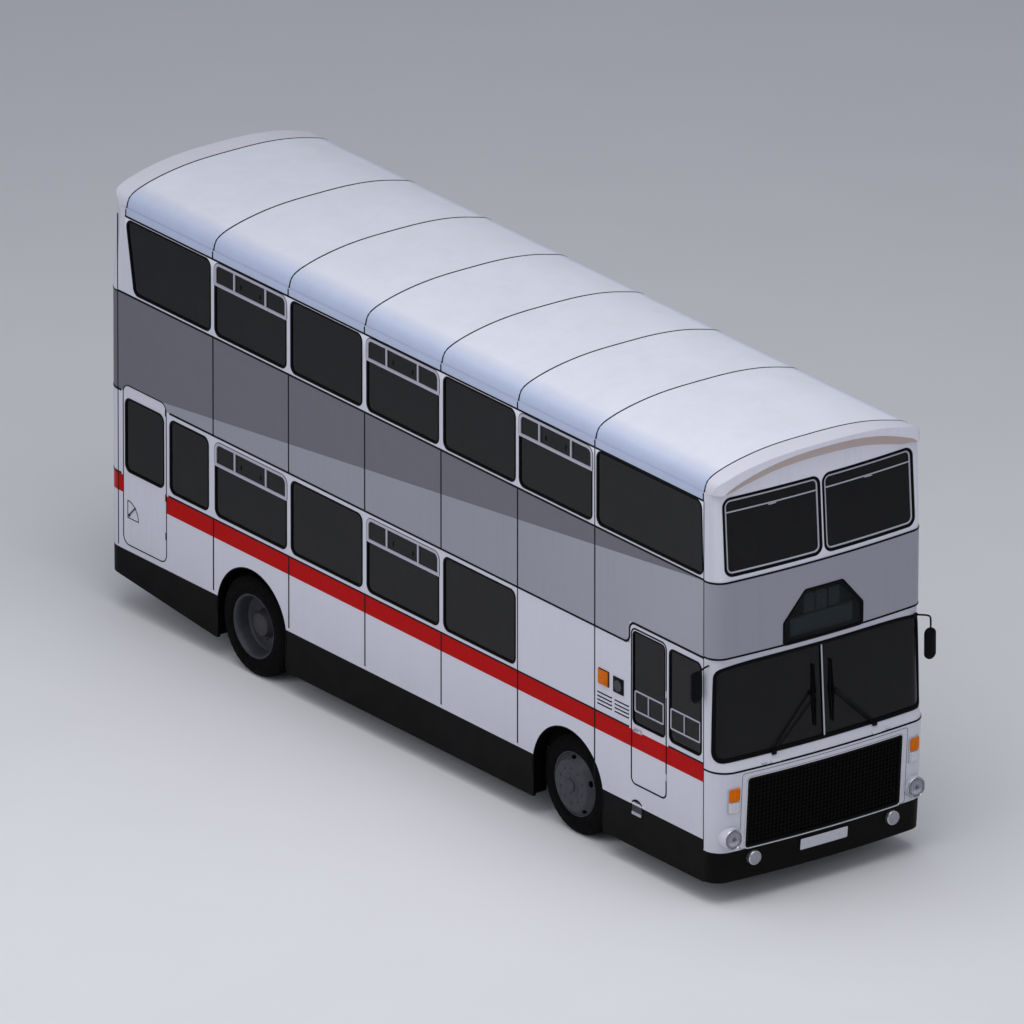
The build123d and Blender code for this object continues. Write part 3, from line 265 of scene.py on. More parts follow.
def metal(name, rgb, rough=0.35, metallic=1.0, grime=0.25, scale=12.0, brushed=None):
    M = Mat(name, lin(*rgb), rough, metallic)
    c = M.mix(M.mapr(M.noise(scale, 5.0, 0.65), 0.45, 0.85, 0.0, grime), lin(*rgb), DIRT)
    M.base(c)
    M.rough(M.mapr(M.noise(scale * 3.0, 3.0), 0.3, 0.7, rough - 0.06, rough + 0.12))
    if brushed:
        M.bump(M.noise(1.0, 2.0, 0.5, M.scaled(*brushed)), 0.08, 0.0004)
    else:
        M.bump(M.noise(260.0, 2.0), 0.06, 0.0006)
    return M.m


seam_mat = rubber("seam_bead", (6, 15, 18), 0.5)
gasket_mat = rubber("window_gasket", (4, 4, 5), 0.55)
silver = metal("window_aluminium", (186, 186, 200), 0.38, 0.35, 0.10, 9.0, (400.0, 4.0, 400.0))
chrome = metal("bright_metal", (205, 205, 210), 0.16, 0.9, 0.08)
frame_steel = metal("chassis_steel", (38, 38, 40), 0.6, 0.2, 0.65, 5.0)
cast_iron = metal("cast_iron", (66, 64, 62), 0.62, 0.5, 0.6, 7.0)
wheel_grey = metal("wheel_paint", (46, 50, 58), 0.5, 0.12, 0.22, 9.0)
wheel_hub = metal("hub_paint", (46, 44, 50), 0.52, 0.12, 0.22, 14.0)
black_plastic = rubber("black_plastic", (8, 8, 9), 0.45)
grille_black = rubber("grille_plastic", (6, 6, 7), 0.55)


def tyre_material():
    M = Mat("tyre_rubber", lin(5, 5, 6), 0.72, spec=0.06)
    dust = M.mapr(M.noise(9.0, 5.0, 0.65), 0.40, 0.78, 0.0, 0.35)
    c = M.mix(dust, lin(4, 4, 5), lin(20, 19, 18))
    M.base(c)
    M.rough(M.mapr(M.noise(40.0, 3.0), 0.3, 0.7, 0.62, 0.85))
    M.bump(M.noise(180.0, 3.0, 0.6), 0.25, 0.0012)
    return M.m


tyre_mat = tyre_material()


def glass_material(name, alpha=0.90, rgb=(15, 15, 18), rough=0.07, film=0.2, spec=0.2):
    M = Mat(name, lin(*rgb), rough, 0.0, 0.0, spec, alpha)
    c = M.mix(M.mapr(M.noise(4.0, 4.0, 0.6), 0.45, 0.8, 0.0, film * 0.3), lin(*rgb), lin(66, 66, 66))
    M.base(c)
    M.rough(M.mapr(M.noise(3.0, 4.0, 0.6), 0.35, 0.8, rough - 0.02, rough + 0.07))
    M.bump(M.noise(0.9, 1.0), 0.04, 0.004)
    return M.m


glass_dark = glass_material("tinted_glass")
glass_clear = glass_material("lamp_glass", 0.35, (190, 192, 198), 0.05, 0.1)
glass_sign = glass_material("sign_glass", 0.30, (20, 26, 28), 0.06, 0.1)


def lens(name, rgb, rough=0.16, ribs=None, coat=0.5, spec=0.5):
    M = Mat(name, lin(*rgb), rough, 0.0, coat, spec)
    dark = tuple(v * 0.55 for v in lin(*rgb)[:3]) + (1.0,)
    c = M.mix(M.mapr(M.noise(24.0, 3.0), 0.35, 0.75, 0.0, 0.5), lin(*rgb), dark)
    if ribs:
        c = M.mix(M.mul(M.wave(ribs, "X"), 0.35), c, dark)
        M.bump(M.wave(ribs, "X"), 0.5, 0.002)
    M.base(c)
    M.rough(M.mapr(M.noise(50.0), 0.3, 0.7, rough, rough + 0.1))
    return M.m


lens_orange = lens("lens_orange", (238, 120, 2), 0.25, 9.0, 0.03, 0.06)
lens_clear = lens("lens_clear", (176, 176, 188), 0.2, 9.0)
lens_marker = lens("lens_marker", (224, 224, 232), 0.25, 9.0, 0.1, 0.2)
lens_red = lens("lens_red", (170, 6, 6), 0.2, 9.0)
lens_white = lens("lens_fog", (160, 159, 170), 0.3, 14.0)


def simple(name, rgb, rough=0.6, var=0.2, scale=8.0, bump=(300.0, 0.1, 0.0008), metallic=0.0, alt=None, sheen=0.0, coat=0.0):
    M = Mat(name, lin(*rgb), rough, metallic, coat, 0.5, 1.0, sheen)
    a = lin(*rgb)
    b = lin(*alt) if alt else tuple(v * 0.62 for v in a[:3]) + (1.0,)
    M.base(M.mix(M.mapr(M.noise(scale, 4.0, 0.6), 0.38, 0.78, 0.0, var), a, b))
    M.rough(M.mapr(M.noise(scale * 4.0, 2.0), 0.3, 0.7, rough - 0.06, rough + 0.08))
    if bump:
        M.bump(M.noise(bump[0], 2.0), bump[1], bump[2])
    return M.m


trim_grey = simple("interior_laminate", (150, 152, 156), 0.5, 0.15)
lining = simple("body_lining", (120, 122, 126), 0.55, 0.2)
plate_white = simple("plate_white", (196, 196, 206), 0.35, 0.10, 30.0)
plate_yellow = simple("plate_yellow", (206, 168, 30), 0.35, 0.10, 30.0)
blind_mat = simple("blind_cloth", (58, 70, 76), 0.75, 0.12, 20.0)
sign_back = simple("sign_back", (34, 44, 46), 0.7, 0.15, 12.0)
rail_orange = simple("handrail_coating", (196, 92, 20), 0.4, 0.12, 20.0, coat=0.3)
mirror_glass = metal("mirror_glass", (200, 204, 208), 0.05, 1.0, 0.03)
reflector = metal("reflector", (190, 190, 196), 0.12, 0.95, 0.05)


def headlamp_glass():
    """Fluted glass over a bowl: dark bulb shield in the middle, brighter bowl round it as a painted reflection, darker
    again at the rim, and a painted highlight low on the lens.
    """
    M = Mat("lens_headlamp", lin(150, 149, 161), 0.16, 0.0, 0.3, 0.3)
    ax = M.math("SUBTRACT", M.math("ABSOLUTE", M.x), 1.090)
    az = M.math("SUBTRACT", M.z, 0.700)
    r = M.math("SQRT", M.math("ADD", M.mul(ax, ax), M.mul(az, az)))
    # brighter ring round the bulb shield: painted reflection of the reflector bowl
    c = M.mix(M.mapr(r, 0.012, 0.034, 0.0, 1.0), lin(84, 83, 90), lin(150, 149, 162))
    c = M.mix(M.mapr(r, 0.058, 0.094, 0.0, 1.0), c, lin(104, 103, 112))
    # bright spot low on the lens: painted highlight
    low = M.math("MULTIPLY", M.mapr(az, -0.012, -0.045, 0.0, 1.0), M.mapr(r, 0.080, 0.060, 0.0, 1.0))
    c = M.mix(M.mul(low, 0.75), c, lin(206, 205, 218))
    c = M.mix(M.mul(M.wave(16.0, "X"), 0.30), c, lin(92, 91, 99))
    M.bump(M.wave(16.0, "X"), 0.5, 0.002)
    M.base(c)
    M.rough(M.mapr(M.noise(50.0), 0.3, 0.7, 0.14, 0.22))
    return M.m


def floor_cover():
    M = Mat("floor_cover", lin(64, 66, 72), 0.6)
    dots = M.mapr(M.voronoi(34.0), 0.0, 0.35, 1.0, 0.0)
    c = M.mix(M.mapr(M.noise(3.0, 5.0, 0.65), 0.35, 0.8, 0.0, 0.5), lin(62, 64, 70), lin(96, 90, 82))
    c = M.mix(M.mul(dots, 0.25), c, lin(120, 122, 128))
    M.base(c)
    M.bump(dots, 0.35, 0.0012)
    return M.m


def moquette():
    """Woven seat cloth: small generic two-tone check with pile."""
    M = Mat("seat_cloth", lin(40, 52, 84), 0.9, 0.0, 0.0, 0.3, 1.0, 0.35)
    a = M.math("GREATER_THAN", M.wave(5.5, "X"), 0.62)
    b = M.math("GREATER_THAN", M.wave(5.5, "Y"), 0.62)
    d = M.math("GREATER_THAN", M.wave(5.5, "Z"), 0.62)
    c = M.mix(M.mul(a, 0.75), lin(38, 50, 82), lin(70, 84, 116))
    n = M.t.nodes.new("ShaderNodeSeparateXYZ")
    M.t.links.new(M.tc.outputs["Normal"], n.inputs[0])
    flat = M.mapr(M.math("ABSOLUTE", n.outputs[2]), 0.55, 0.75)
    cross = M.math("ADD", M.mul(b, flat), M.mul(d, M.math("SUBTRACT", 1.0, flat)))
    c = M.mix(M.mul(cross, 0.35), c, lin(92, 60, 84))
    c = M.mix(M.mul(M.mul(a, cross), 0.6), c, lin(124, 34, 38))
    pile = M.noise(420.0, 3.0, 0.7)
    c = M.mix(M.mapr(pile, 0.35, 0.7, 0.0, 0.35), c, lin(18, 22, 34))
    c = M.mix(M.mapr(M.noise(3.0, 4.0), 0.4, 0.8, 0.0, 0.3), c, lin(58, 60, 70))
    M.base(c)
    M.bump(pile, 0.35, 0.0016)
    return M.m


floor_mat = floor_cover()
cloth_mat = moquette()
piping_mat = simple("seat_piping", (22, 24, 32), 0.6, 0.2, 30.0)
vinyl_mat = simple("driver_seat_vinyl", (30, 31, 35), 0.5, 0.25, 14.0, (420.0, 0.3, 0.0012))


# =============================================================== mesh helpers
class Piece:
    def __init__(self):
        self.v, self.f, self.m = [], [], []

    def add(self, vs, fs, m=0):
        n = len(self.v)
        self.v += [tuple(p) for p in vs]
        self.f += [tuple(i + n for i in q) for q in fs]
        self.m += [m] * len(fs)

    def grid(self, rows, cu=False, cv=False, m=0):
        R, C = len(rows), len(rows[0])
        vs = [p for row in rows for p in row]
        fs = []
        for i in range(R if cu else R - 1):
            for j in range(C if cv else C - 1):
                a, b = i * C + j, i * C + (j + 1) % C
                c, d = ((i + 1) % R) * C + (j + 1) % C, ((i + 1) % R) * C + j
                fs.append((a, b, c, d))
        self.add(vs, fs, m)

    def sweep(self, frames, prof, closed=False, m=0):
        """prof: closed (w, h) outline; frames: (P, W, N)."""
        rows = [[P + W * w + N * h for w, h in prof] for P, W, N in frames]
        n = len(self.v)
        self.grid(rows, closed, True, m)
        if not closed:
            k, r = len(prof), len(rows)
            self.f += [tuple(n + i for i in reversed(range(k))), tuple(n + (r - 1) * k + i for i in range(k))]
            self.m += [m, m]

    def ribbon(self, line, prof, mp, closed=True, m=0):
        """Carries a closed (d, h) outline round a line drawn on a surface; d is outwards."""
        rows = [[mp(a, b, h) for a, b in offset_line(line, d, closed)] for d, h in prof]
        n = len(self.v)
        self.grid(rows, True, closed, m)
        if not closed:
            c = len(rows[0])
            self.f += [tuple(n + i * c for i in range(len(rows))), tuple(n + i * c + c - 1 for i in reversed(range(len(rows))))]
            self.m += [m, m]

    def tube(self, pts, r, n=10, m=0):
        pts = [Vector(p) for p in pts]
        ds = [(b - a).normalized() for a, b in zip(pts, pts[1:])]
        u = ds[0].orthogonal().normalized()
        rows = []
        for i, p in enumerate(pts):
            if i == 0:
                d = ds[0]
                k = 1.0
            elif i == len(pts) - 1:
                d = ds[-1]
                k = 1.0
            else:
                d = (ds[i - 1] + ds[i]).normalized()
                k = 1.0
            u = (u - d * u.dot(d)).normalized()
            w = d.cross(u)
            rows.append([p + (u * math.cos(t) + w * math.sin(t)) * r * k for t in (2 * math.pi * j / n for j in range(n))])
        b = len(self.v)
        self.grid(rows, False, True, m)
        self.f += [tuple(b + i for i in reversed(range(n))), tuple(b + (len(rows) - 1) * n + i for i in range(n))]
        self.m += [m, m]

    def lathe(self, prof, at, axis="x", n=64, m=0, mod=None):
        """Closed (t, r) outline turned about an axis through at; t is along the axis."""
        rows = []
        for j in range(n):
            a = 2 * math.pi * j / n
            row = []
            for k, (t, r) in enumerate(prof):
                if mod:
                    r = mod(k, t, r, j)
                c, s = r * math.cos(a), r * math.sin(a)
                p = {"x": (t, c, s), "y": (c, t, s), "z": (c, s, t)}[axis]
                row.append(Vector(at) + Vector(p))
            rows.append(row)
        self.grid(rows, True, True, m)

    def box(self, a, b, bev=0.002, m=0, mat=None):
        vs, fs = bevelled_box(tuple(abs(b[i] - a[i]) for i in range(3)), bev)
        c = Vector([(a[i] + b[i]) / 2 for i in range(3)])
        vs = [Vector(v) for v in vs]
        if mat is not None:
            vs = [mat @ v for v in vs]
        self.add([c + v for v in vs], fs, m)

    def build(self, name, body, mats, slot=None, angle=35.0, replaces=(), weld=True):
        me = bpy.data.meshes.new(name)
        me.from_pydata(self.v, [], self.f)
        for mt in mats:
            me.materials.append(mt)
        me.polygons.foreach_set("material_index", self.m)
        bm = bmesh.new()
        bm.from_mesh(me)
        if weld:
            bmesh.ops.remove_doubles(bm, verts=bm.verts, dist=2e-6)
            bmesh.ops.dissolve_degenerate(bm, dist=2e-6, edges=bm.edges)
        bmesh.ops.recalc_face_normals(bm, faces=bm.faces)
        bm.to_mesh(me)
        bm.free()
        me.shade_smooth()
        me.set_sharp_from_angle(angle=math.radians(angle))
        ob = bpy.data.objects.new(name, me)
        scene.collection.objects.link(ob)
        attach(ob, body)
        if replaces:
            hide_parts(*replaces)
        return ob


_boxes = {}


def bevelled_box(size, bev):
    key = (tuple(round(s, 6) for s in size), bev)
    if key not in _boxes:
        bm = bmesh.new()
        bmesh.ops.create_cube(bm, size=1.0)
        for v in bm.verts:
            v.co = Vector((v.co.x * size[0], v.co.y * size[1], v.co.z * size[2]))
        b = min(bev, min(size) * 0.35)
        if b > 1e-5:
            bmesh.ops.bevel(bm, geom=list(bm.edges), offset=b, segments=2, profile=0.6, affect="EDGES")
        bm.verts.index_update()
        _boxes[key] = ([tuple(v.co) for v in bm.verts], [tuple(v.index for v in f.verts) for f in bm.faces])
        bm.free()
    return _boxes[key]


def area2(pts):
    return sum(a[0] * b[1] - b[0] * a[1] for a, b in zip(pts, pts[1:] + pts[:1]))


def offset_line(pts, d, closed=True):
    n = len(pts)
    out = []
    for i in range(n):
        p = Vector(pts[i])
        es = []
        if closed or i > 0:
            e = p - Vector(pts[i - 1])
            if e.length > 1e-9:
                es.append(e.normalized())
        if closed or i < n - 1:
            e = Vector(pts[(i + 1) % n]) - p
            if e.length > 1e-9:
                es.append(e.normalized())
        ns = [Vector((e.y, -e.x)) for e in es]
        m = ns[0] if len(ns) == 1 else (ns[0] + ns[1]).normalized()
        k = 1.0 / max(0.5, m.dot(ns[0]))
        q = p + m * d * k
        out.append((q.x, q.y))
    return out


def dense(pts, step, closed=True):
    pts = [p for i, p in enumerate(pts) if i == 0 or (Vector(p) - Vector(pts[i - 1])).length > 1e-5]
    if closed and (Vector(pts[0]) - Vector(pts[-1])).length < 1e-5:
        pts = pts[:-1]
    out = []
    n = len(pts)
    for i in range(n if closed else n - 1):
        a, b = Vector(pts[i]), Vector(pts[(i + 1) % n])
        k = max(1, int(math.ceil((b - a).length / step)))
        out += [tuple(a.lerp(b, j / k)) for j in range(k)]
    if not closed:
        out.append(tuple(pts[-1]))
    return out


def rounded(pts, r, n=7):
    """Rounds the corners of a convex outline given anticlockwise; r may be one number or a list."""
    k = len(pts)
    if area2(pts) < 0:
        pts = pts[::-1]
        if isinstance(r, (list, tuple)):
            r = list(r)[::-1]
    out = []
    for i in range(k):
        p, a, b = Vector(pts[i]), Vector(pts[i - 1]), Vector(pts[(i + 1) % k])
        rr = r[i] if isinstance(r, (list, tuple)) else r
        if rr <= 1e-6:
            out.append(tuple(p))
            continue
        u, v = (a - p).normalized(), (b - p).normalized()
        half = math.acos(max(-1.0, min(1.0, u.dot(v)))) / 2.0
        t = rr / math.tan(half)
        c = p + (u + v).normalized() * (rr / math.sin(half))
        s, e = p + u * t - c, p + v * t - c
        a0 = math.atan2(s.y, s.x)
        a1 = math.atan2(e.y, e.x)
        while a1 < a0:
            a1 += 2 * math.pi
        for j in range(n + 1):
            g = a0 + (a1 - a0) * j / n
            out.append((c.x + rr * math.cos(g), c.y + rr * math.sin(g)))
    return out


def rrect(a0, a1, b0, b1, r, n=7):
    return rounded([(a0, b0), (a1, b0), (a1, b1), (a0, b1)], r, n)


# --------------------------------------------------- surfaces of the body
class End:
    """Outline of the front or rear moulding: crowned middle, corner arcs, straight sides."""

    def __init__(self, levels, big, s):
        self.l, self.big, self.s = levels, big, s

    def at(self, z):
        L = self.l
        z = min(max(z, L[0][0]), L[-1][0])
        for (z0, y0, r0), (z1, y1, r1) in zip(L, L[1:]):
            if z <= z1:
                t = (z - z0) / (z1 - z0)
                return y0 + (y1 - y0) * t, r0 + (r1 - r0) * t
        return L[-1][1], L[-1][2]

    def parts(self, z):
        ym, r = self.at(z)
        B = self.big
        cf = B - math.sqrt((B - r) ** 2 - (H - r) ** 2)
        A = math.asin((H - r) / (B - r))
        return ym, r, ym - self.s * cf, ym - self.s * B, A, B * A, r * (math.pi / 2 - A)

    def p(self, sl, z, h=0.0):
        ym, r, cyc, cy, A, a1, a2 = self.parts(z)
        a = abs(sl)
        if a <= a1:
            t = a / self.big
            x, y = self.big * math.sin(t), cy + self.s * self.big * math.cos(t)
        elif a <= a1 + a2:
            t = A + (a - a1) / r
            x, y = H - r + r * math.sin(t), cyc + self.s * r * math.cos(t)
        else:
            t = math.pi / 2
            x, y = H, cyc - self.s * (a - a1 - a2)
        n = (math.sin(t), self.s * math.cos(t))
        sg = 1.0 if sl >= 0 else -1.0
        return Vector((sg * (x + h * n[0]), y + h * n[1], z))

    def n(self, sl, z):
        return (self.p(sl, z, 1.0) - self.p(sl, z, 0.0))

    def s_of_x(self, x, z):
        ym, r, cyc, cy, A, a1, a2 = self.parts(z)
        a = abs(x)
        if a <= self.big * math.sin(A):
            v = self.big * math.asin(a / self.big)
        else:
            v = a1 + r * (math.asin(min(1.0, (a - (H - r)) / r)) - A)
        return math.copysign(v, x)

    def s_of_y(self, y, z):
        ym, r, cyc, cy, A, a1, a2 = self.parts(z)
        c = (y - cyc) * self.s / r
        if c <= 0.0:
            return a1 + a2 + (cyc - y) * self.s
        return a1 + r * (math.acos(min(1.0, c)) - A)

    def xmap(self):
        return lambda x, z, h: self.p(self.s_of_x(x, z), z, h)

    def smap(self):
        return lambda s, z, h: self.p(s, z, h)


FS, RS, DS = -4.621, 4.692, 4.567
E_BUMP = End([(0.230, -4.843, 0.170), (0.548, -4.874, 0.178)], 11.779, -1)
E_LOW = End([(0.548, -4.874, 0.178), (1.377, -4.930, 0.205), (1.462, -4.870, 0.172), (2.512, -4.808, 0.120)], 11.779, -1)
E_BAND = End([(2.512, -4.852, 0.160), (3.308, -4.862, 0.162)], 11.779, -1)
E_UP = End([(3.308, -4.852, 0.156), (4.215, -4.794, 0.113)], 11.779, -1)
R_SK = End([(0.375, 4.918, 0.188), (0.655, 4.928, 0.198)], 18.0, 1)
R_LOW = End([(0.655, 4.930, 0.200), (3.308, 4.930, 0.200)], 18.0, 1)
R_UP = End([(3.308, 4.929, 0.201), (4.215, 4.840, 0.206)], 18.0, 1)


def side(sx, x0=H):
    return lambda y, z, h: Vector((sx * (x0 + h), y, z))


def bead(w, t, sink=0.0015):
    return [(-w / 2, -sink), (-w / 2, t * 0.35), (-w * 0.30, t * 0.9), (0.0, t), (w * 0.30, t * 0.9), (w / 2, t * 0.35), (w / 2, -sink)]


ROOF_PTS = [(1.250, 4.112), (1.243, 4.180), (1.226, 4.248), (1.167, 4.326), (1.025, 4.383),
            (0.788, 4.438), (0.504, 4.476), (0.220, 4.490), (0.0, 4.491)]

# =============================================================== CAD node materials
def dress(mats, *names):
    for n in names:
        for i, s in enumerate(NODE[n].material_slots):
            s.material = mats if not isinstance(mats, (list, tuple)) else mats[i % len(mats)]


dress(paint_roof, "roof")
dress(paint_dome, "front_dome", "rear_dome")
dress(paint_lower, "lower_side_left", "lower_side_right")
dress(paint_upper, "upper_side_left", "upper_side_right")
dress(paint_rear, "rear_panel")
dress(paint_front, "front_panel")
dress(paint_band, "front_band_panel")
dress(paint_skirt, "skirts", "front_bumper")
dress(paint_lower, "driver_door")
dress(paint_white, "emergency_door")
dress(glass_dark, "windscreen", "side_windows_left", "side_windows_right", "front_upper_windows", "rear_windows",
      "driver_door_window", "emergency_door_window", "entrance_glass_front", "entrance_glass_rear")
dress(silver, "entrance_leaf_front", "entrance_leaf_rear")
dress(frame_steel, "chassis_frame", "leaf_springs", "fuel_tank", "track_rod")
dress(cast_iron, "engine", "driveline", "front_axle", "rear_axle", "knuckle_left", "knuckle_right")
dress(floor_mat, "lower_floor", "upper_floor", "staircase")
dress(trim_grey, "cab_fittings", "destination_box")
dress(frame_steel, "seat_frames")
dress(black_plastic, "steering_wheel")
dress(grille_black, "grille")

# =============================================================== side windows
BAYS = [(1.985, 3.121), (0.775, 1.902), (-0.444, 0.689), (-1.6575, -0.530)]
FRONT_BAY = (-2.865, -1.729)
LO, UP = (1.485, 2.230), (3.350, 4.083)
GASKET = [(0.012, -0.001), (0.012, 0.0035), (0.007, 0.0062), (0.000, 0.0066), (-0.007, 0.0055), (-0.0125, 0.0005), (-0.0125, -0.0075), (0.0, -0.0075)]
WIDE = [(0.016, -0.001), (0.016, 0.004), (0.009, 0.0072), (0.000, 0.0076), (-0.009, 0.006), (-0.017, 0.0005), (-0.017, -0.0075), (0.0, -0.0075)]
SILVER_BAR = 0.030


def gasket_ring(P, line, mp, prof=GASKET, step=0.12):
    P.ribbon(dense(line, step), prof, mp)


def hopper(P, Q, sx, y0, y1, z0, z1, bar):
    """Fixed lower pane in rubber, aluminium toplight frame with two sliding panes above bar."""
    mp = side(sx)
    r = 0.070
    full = rrect(y0, y1, z0, z1, r)
    low = [p for p in full if p[1] <= bar]
    # rotate the list so that the run is continuous
    k = next(i for i in range(len(full)) if full[i][1] > bar and full[(i + 1) % len(full)][1] <= bar)
    ordered = [full[(k + 1 + i) % len(full)] for i in range(len(full))]
    run = []
    for p in ordered:
        if p[1] <= bar:
            run.append(p)
        else:
            break
    a, b = run[0], run[-1]
    lower_run = dense([(a[0], bar)] + run + [(b[0], bar)], 0.12, False)
    P.ribbon(lower_run, GASKET, mp, False)
    # aluminium frame of the toplight
    k2 = [p for p in ordered if p[1] > bar]
    upper_run = dense([(b[0], bar)] + k2 + [(a[0], bar)], 0.12, False)
    Q.ribbon(upper_run, [(0.013, -0.001), (0.013, 0.004), (0.008, 0.0062), (-0.010, 0.0062), (-0.0165, 0.003), (-0.0165, -0.0075), (0.0, -0.0075)], mp, False)
    P.ribbon(upper_run, [(0.0135, -0.001), (0.0135, 0.003), (0.0160, 0.0036), (0.0185, 0.003), (0.0185, -0.001)], mp, False)
    w = SILVER_BAR
    lo, hi = min(y0, y1) - 0.012, max(y0, y1) + 0.012
    Q.box((sx * (H - 0.009), lo, bar - w / 2), (sx * (H + 0.0068), hi, bar + w / 2), 0.0025)
    P.box((sx * (H - 0.009), lo, bar - w / 2 - 0.006), (sx * (H + 0.004), hi, bar - w / 2), 0.0012)
    for d in (0.306, 0.802):
        yc = y1 - d * (y1 - y0) / 1.127
        Q.box((sx * (H - 0.008), yc - 0.011, bar + w / 2 - 0.003), (sx * (H + 0.0052), yc + 0.011, z1 - 0.012), 0.002)
    # finger pulls of the two sliding panes
    for d in (0.400, 0.710):
        yc = y1 - d * (y1 - y0) / 1.127
        P.box((sx * (H - 0.0085), yc - 0.006, bar + 0.060), (sx * (H - 0.003), yc + 0.006, bar + 0.105), 0.001)


for sx, tag in ((-1, "right"), (1, "left")):
    P, Q = Piece(), Piece()
    mp = side(sx)
    for i, (a, b) in enumerate(BAYS):
        if i in (0, 2):
            hopper(P, Q, sx, a, b, LO[0], LO[1], 2.010)
            hopper(P, Q, sx, a, b, UP[0], UP[1], 3.871)
        else:
            gasket_ring(P, rrect(a, b, LO[0], LO[1], 0.070), mp)
            gasket_ring(P, rrect(a, b, UP[0], UP[1], 0.070), mp)
    hopper(P, Q, sx, FRONT_BAY[0], FRONT_BAY[1], UP[0], UP[1], 3.871)
    if sx > 0:
        gasket_ring(P, rrect(FRONT_BAY[0], FRONT_BAY[1], LO[0], LO[1], 0.070), mp)
        gasket_ring(P, rrect(3.2375, 4.500, LO[0], LO[1], 0.070), mp)
    else:
        gasket_ring(P, rrect(3.2375, 3.850, LO[0], LO[1], 0.070), mp)
        gasket_ring(P, rrect(-4.583, -4.090, 1.496, 2.433, 0.060), mp)
    gasket_ring(P, rounded([(4.548, 4.083), (4.418, 3.350), (3.198, 3.350), (3.198, 4.083)], 0.070), mp)
    gasket_ring(P, rounded([(-2.950, 3.350), (-4.606 + 0.0, 3.350), (-4.578, 4.090), (-2.950, 4.090)], 0.070), mp)
    P.build("side_window_gaskets_" + tag, "root", [gasket_mat], "black_plastic")
    Q.build("hopper_frames_" + tag, "root", [silver], "door_aluminium")

# =============================================================== beading and seams
SEAMS = [3.158, 1.948, 0.731, -0.483, -1.695]
B = Piece()


def strip_h(P, sx, y0, y1, z, w, t=0.0035, m=0):
    P.sweep([(Vector((sx * H, y, z)), Vector((0, 0, 1)), Vector((sx, 0, 0))) for y in seq(y0, y1, 0.5)], bead(w, t), m=m)


def strip_v(P, sx, y, z0, z1, w, t=0.0028, m=0):
    P.sweep([(Vector((sx * H, y, z)), Vector((0, 1, 0)), Vector((sx, 0, 0))) for z in seq(z0, z1, 0.3)], bead(w, t), m=m)


def seq(a, b, step):
    n = max(1, int(math.ceil(abs(b - a) / step)))
    return [a + (b - a) * i / n for i in range(n + 1)]


def strip_end(P, E, s0, s1, z, w, t=0.0035, step=0.03, m=0):
    fr = []
    for s in seq(s0, s1, step):
        p = E.p(s, z, 0)
        n = E.n(s, z)
        fr.append((p, Vector((0, 0, 1)), Vector((n.x, n.y, 0))))
    P.sweep(fr, bead(w, t), m=m)


def strip_up(P, E, s, z0, z1, w, t=0.0028, m=0):
    fr = []
    for z in seq(z0, z1, 0.1):
        p = E.p(s, z, 0)
        n = E.n(s, z)
        fr.append((p, Vector((-n.y, n.x, 0)), Vector((n.x, n.y, 0))))
    P.sweep(fr, bead(w, t), m=m)


for sx in (-1, 1):
    # band lines
    front_low = -3.455 if sx < 0 else -3.371
    if sx < 0:
        strip_h(B, sx, -3.380, 3.860, 2.290, 0.022)
        strip_h(B, sx, 4.640, RS, 2.290, 0.022)
        pts = [(-3.380, 2.290)]
        for j in range(9):
            g = math.pi / 2 * j / 8
            pts.append((-3.380 - 0.080 * math.sin(g), 2.370 - 0.080 * math.cos(g)))
        for j in range(9):
            g = math.pi / 2 * j / 8
            pts.append((-3.540 + 0.080 * math.cos(g), 2.432 + 0.080 * math.sin(g)))
        pts.append((-4.616, 2.512))
        B.ribbon(dense(pts, 0.2, False), [(-0.012, -0.0015), (-0.012, 0.002), (-0.006, 0.0040), (0.006, 0.0040), (0.012, 0.002), (0.012, -0.0015)], side(sx), False)
    else:
        strip_h(B, sx, -3.360, RS, 2.290, 0.022)
        strip_h(B, sx, -4.616, -3.360, 2.512, 0.018)
        strip_v(B, sx, -3.350, 2.281, 2.521, 0.018)
    strip_h(B, sx, FS, RS, 3.308, 0.022)
    strip_h(B, sx, FS, DS, 4.112, 0.020, 0.0040)
    waist = [(-3.455, 3.880), (4.640, RS)] if sx < 0 else [(-3.345, RS)]
    for a, b in waist:
        strip_h(B, sx, a, b, 1.431, 0.019)
    if sx < 0:
        strip_h(B, sx, -4.616, -4.072, 1.431, 0.019)
    # vertical seams
    for y in SEAMS + ([-2.912] if sx < 0 else []):
        strip_v(B, sx, y, 2.300, 3.299, 0.019)
        arch = y in (3.158,)
        strip_v(B, sx, y, 0.690, 1.423, 0.019)
    strip_v(B, sx, -1.695, 1.440, 2.281, 0.016)
    if sx < 0:
        strip_v(B, sx, -2.912, 1.440, 2.281, 0.016)
        strip_v(B, sx, -2.912, 3.318, 4.104, 0.014)
    # end seams
    strip_v(B, sx, FS, 0.560, 4.104, 0.012, 0.0022)
    strip_v(B, sx, RS, 0.660, 4.104, 0.014, 0.0022)
# front: waist bead and band bottom
a = E_LOW.s_of_y(FS, 1.377)
strip_end(B, E_LOW, -a, a, 1.3775, 0.019, 0.0045)
a = E_BAND.s_of_y(FS, 2.522)
strip_end(B, E_BAND, -a, a, 2.523, 0.020)
a = E_BAND.s_of_y(FS, 3.30)
strip_end(B, E_BAND, -a, a, 3.300, 0.020)
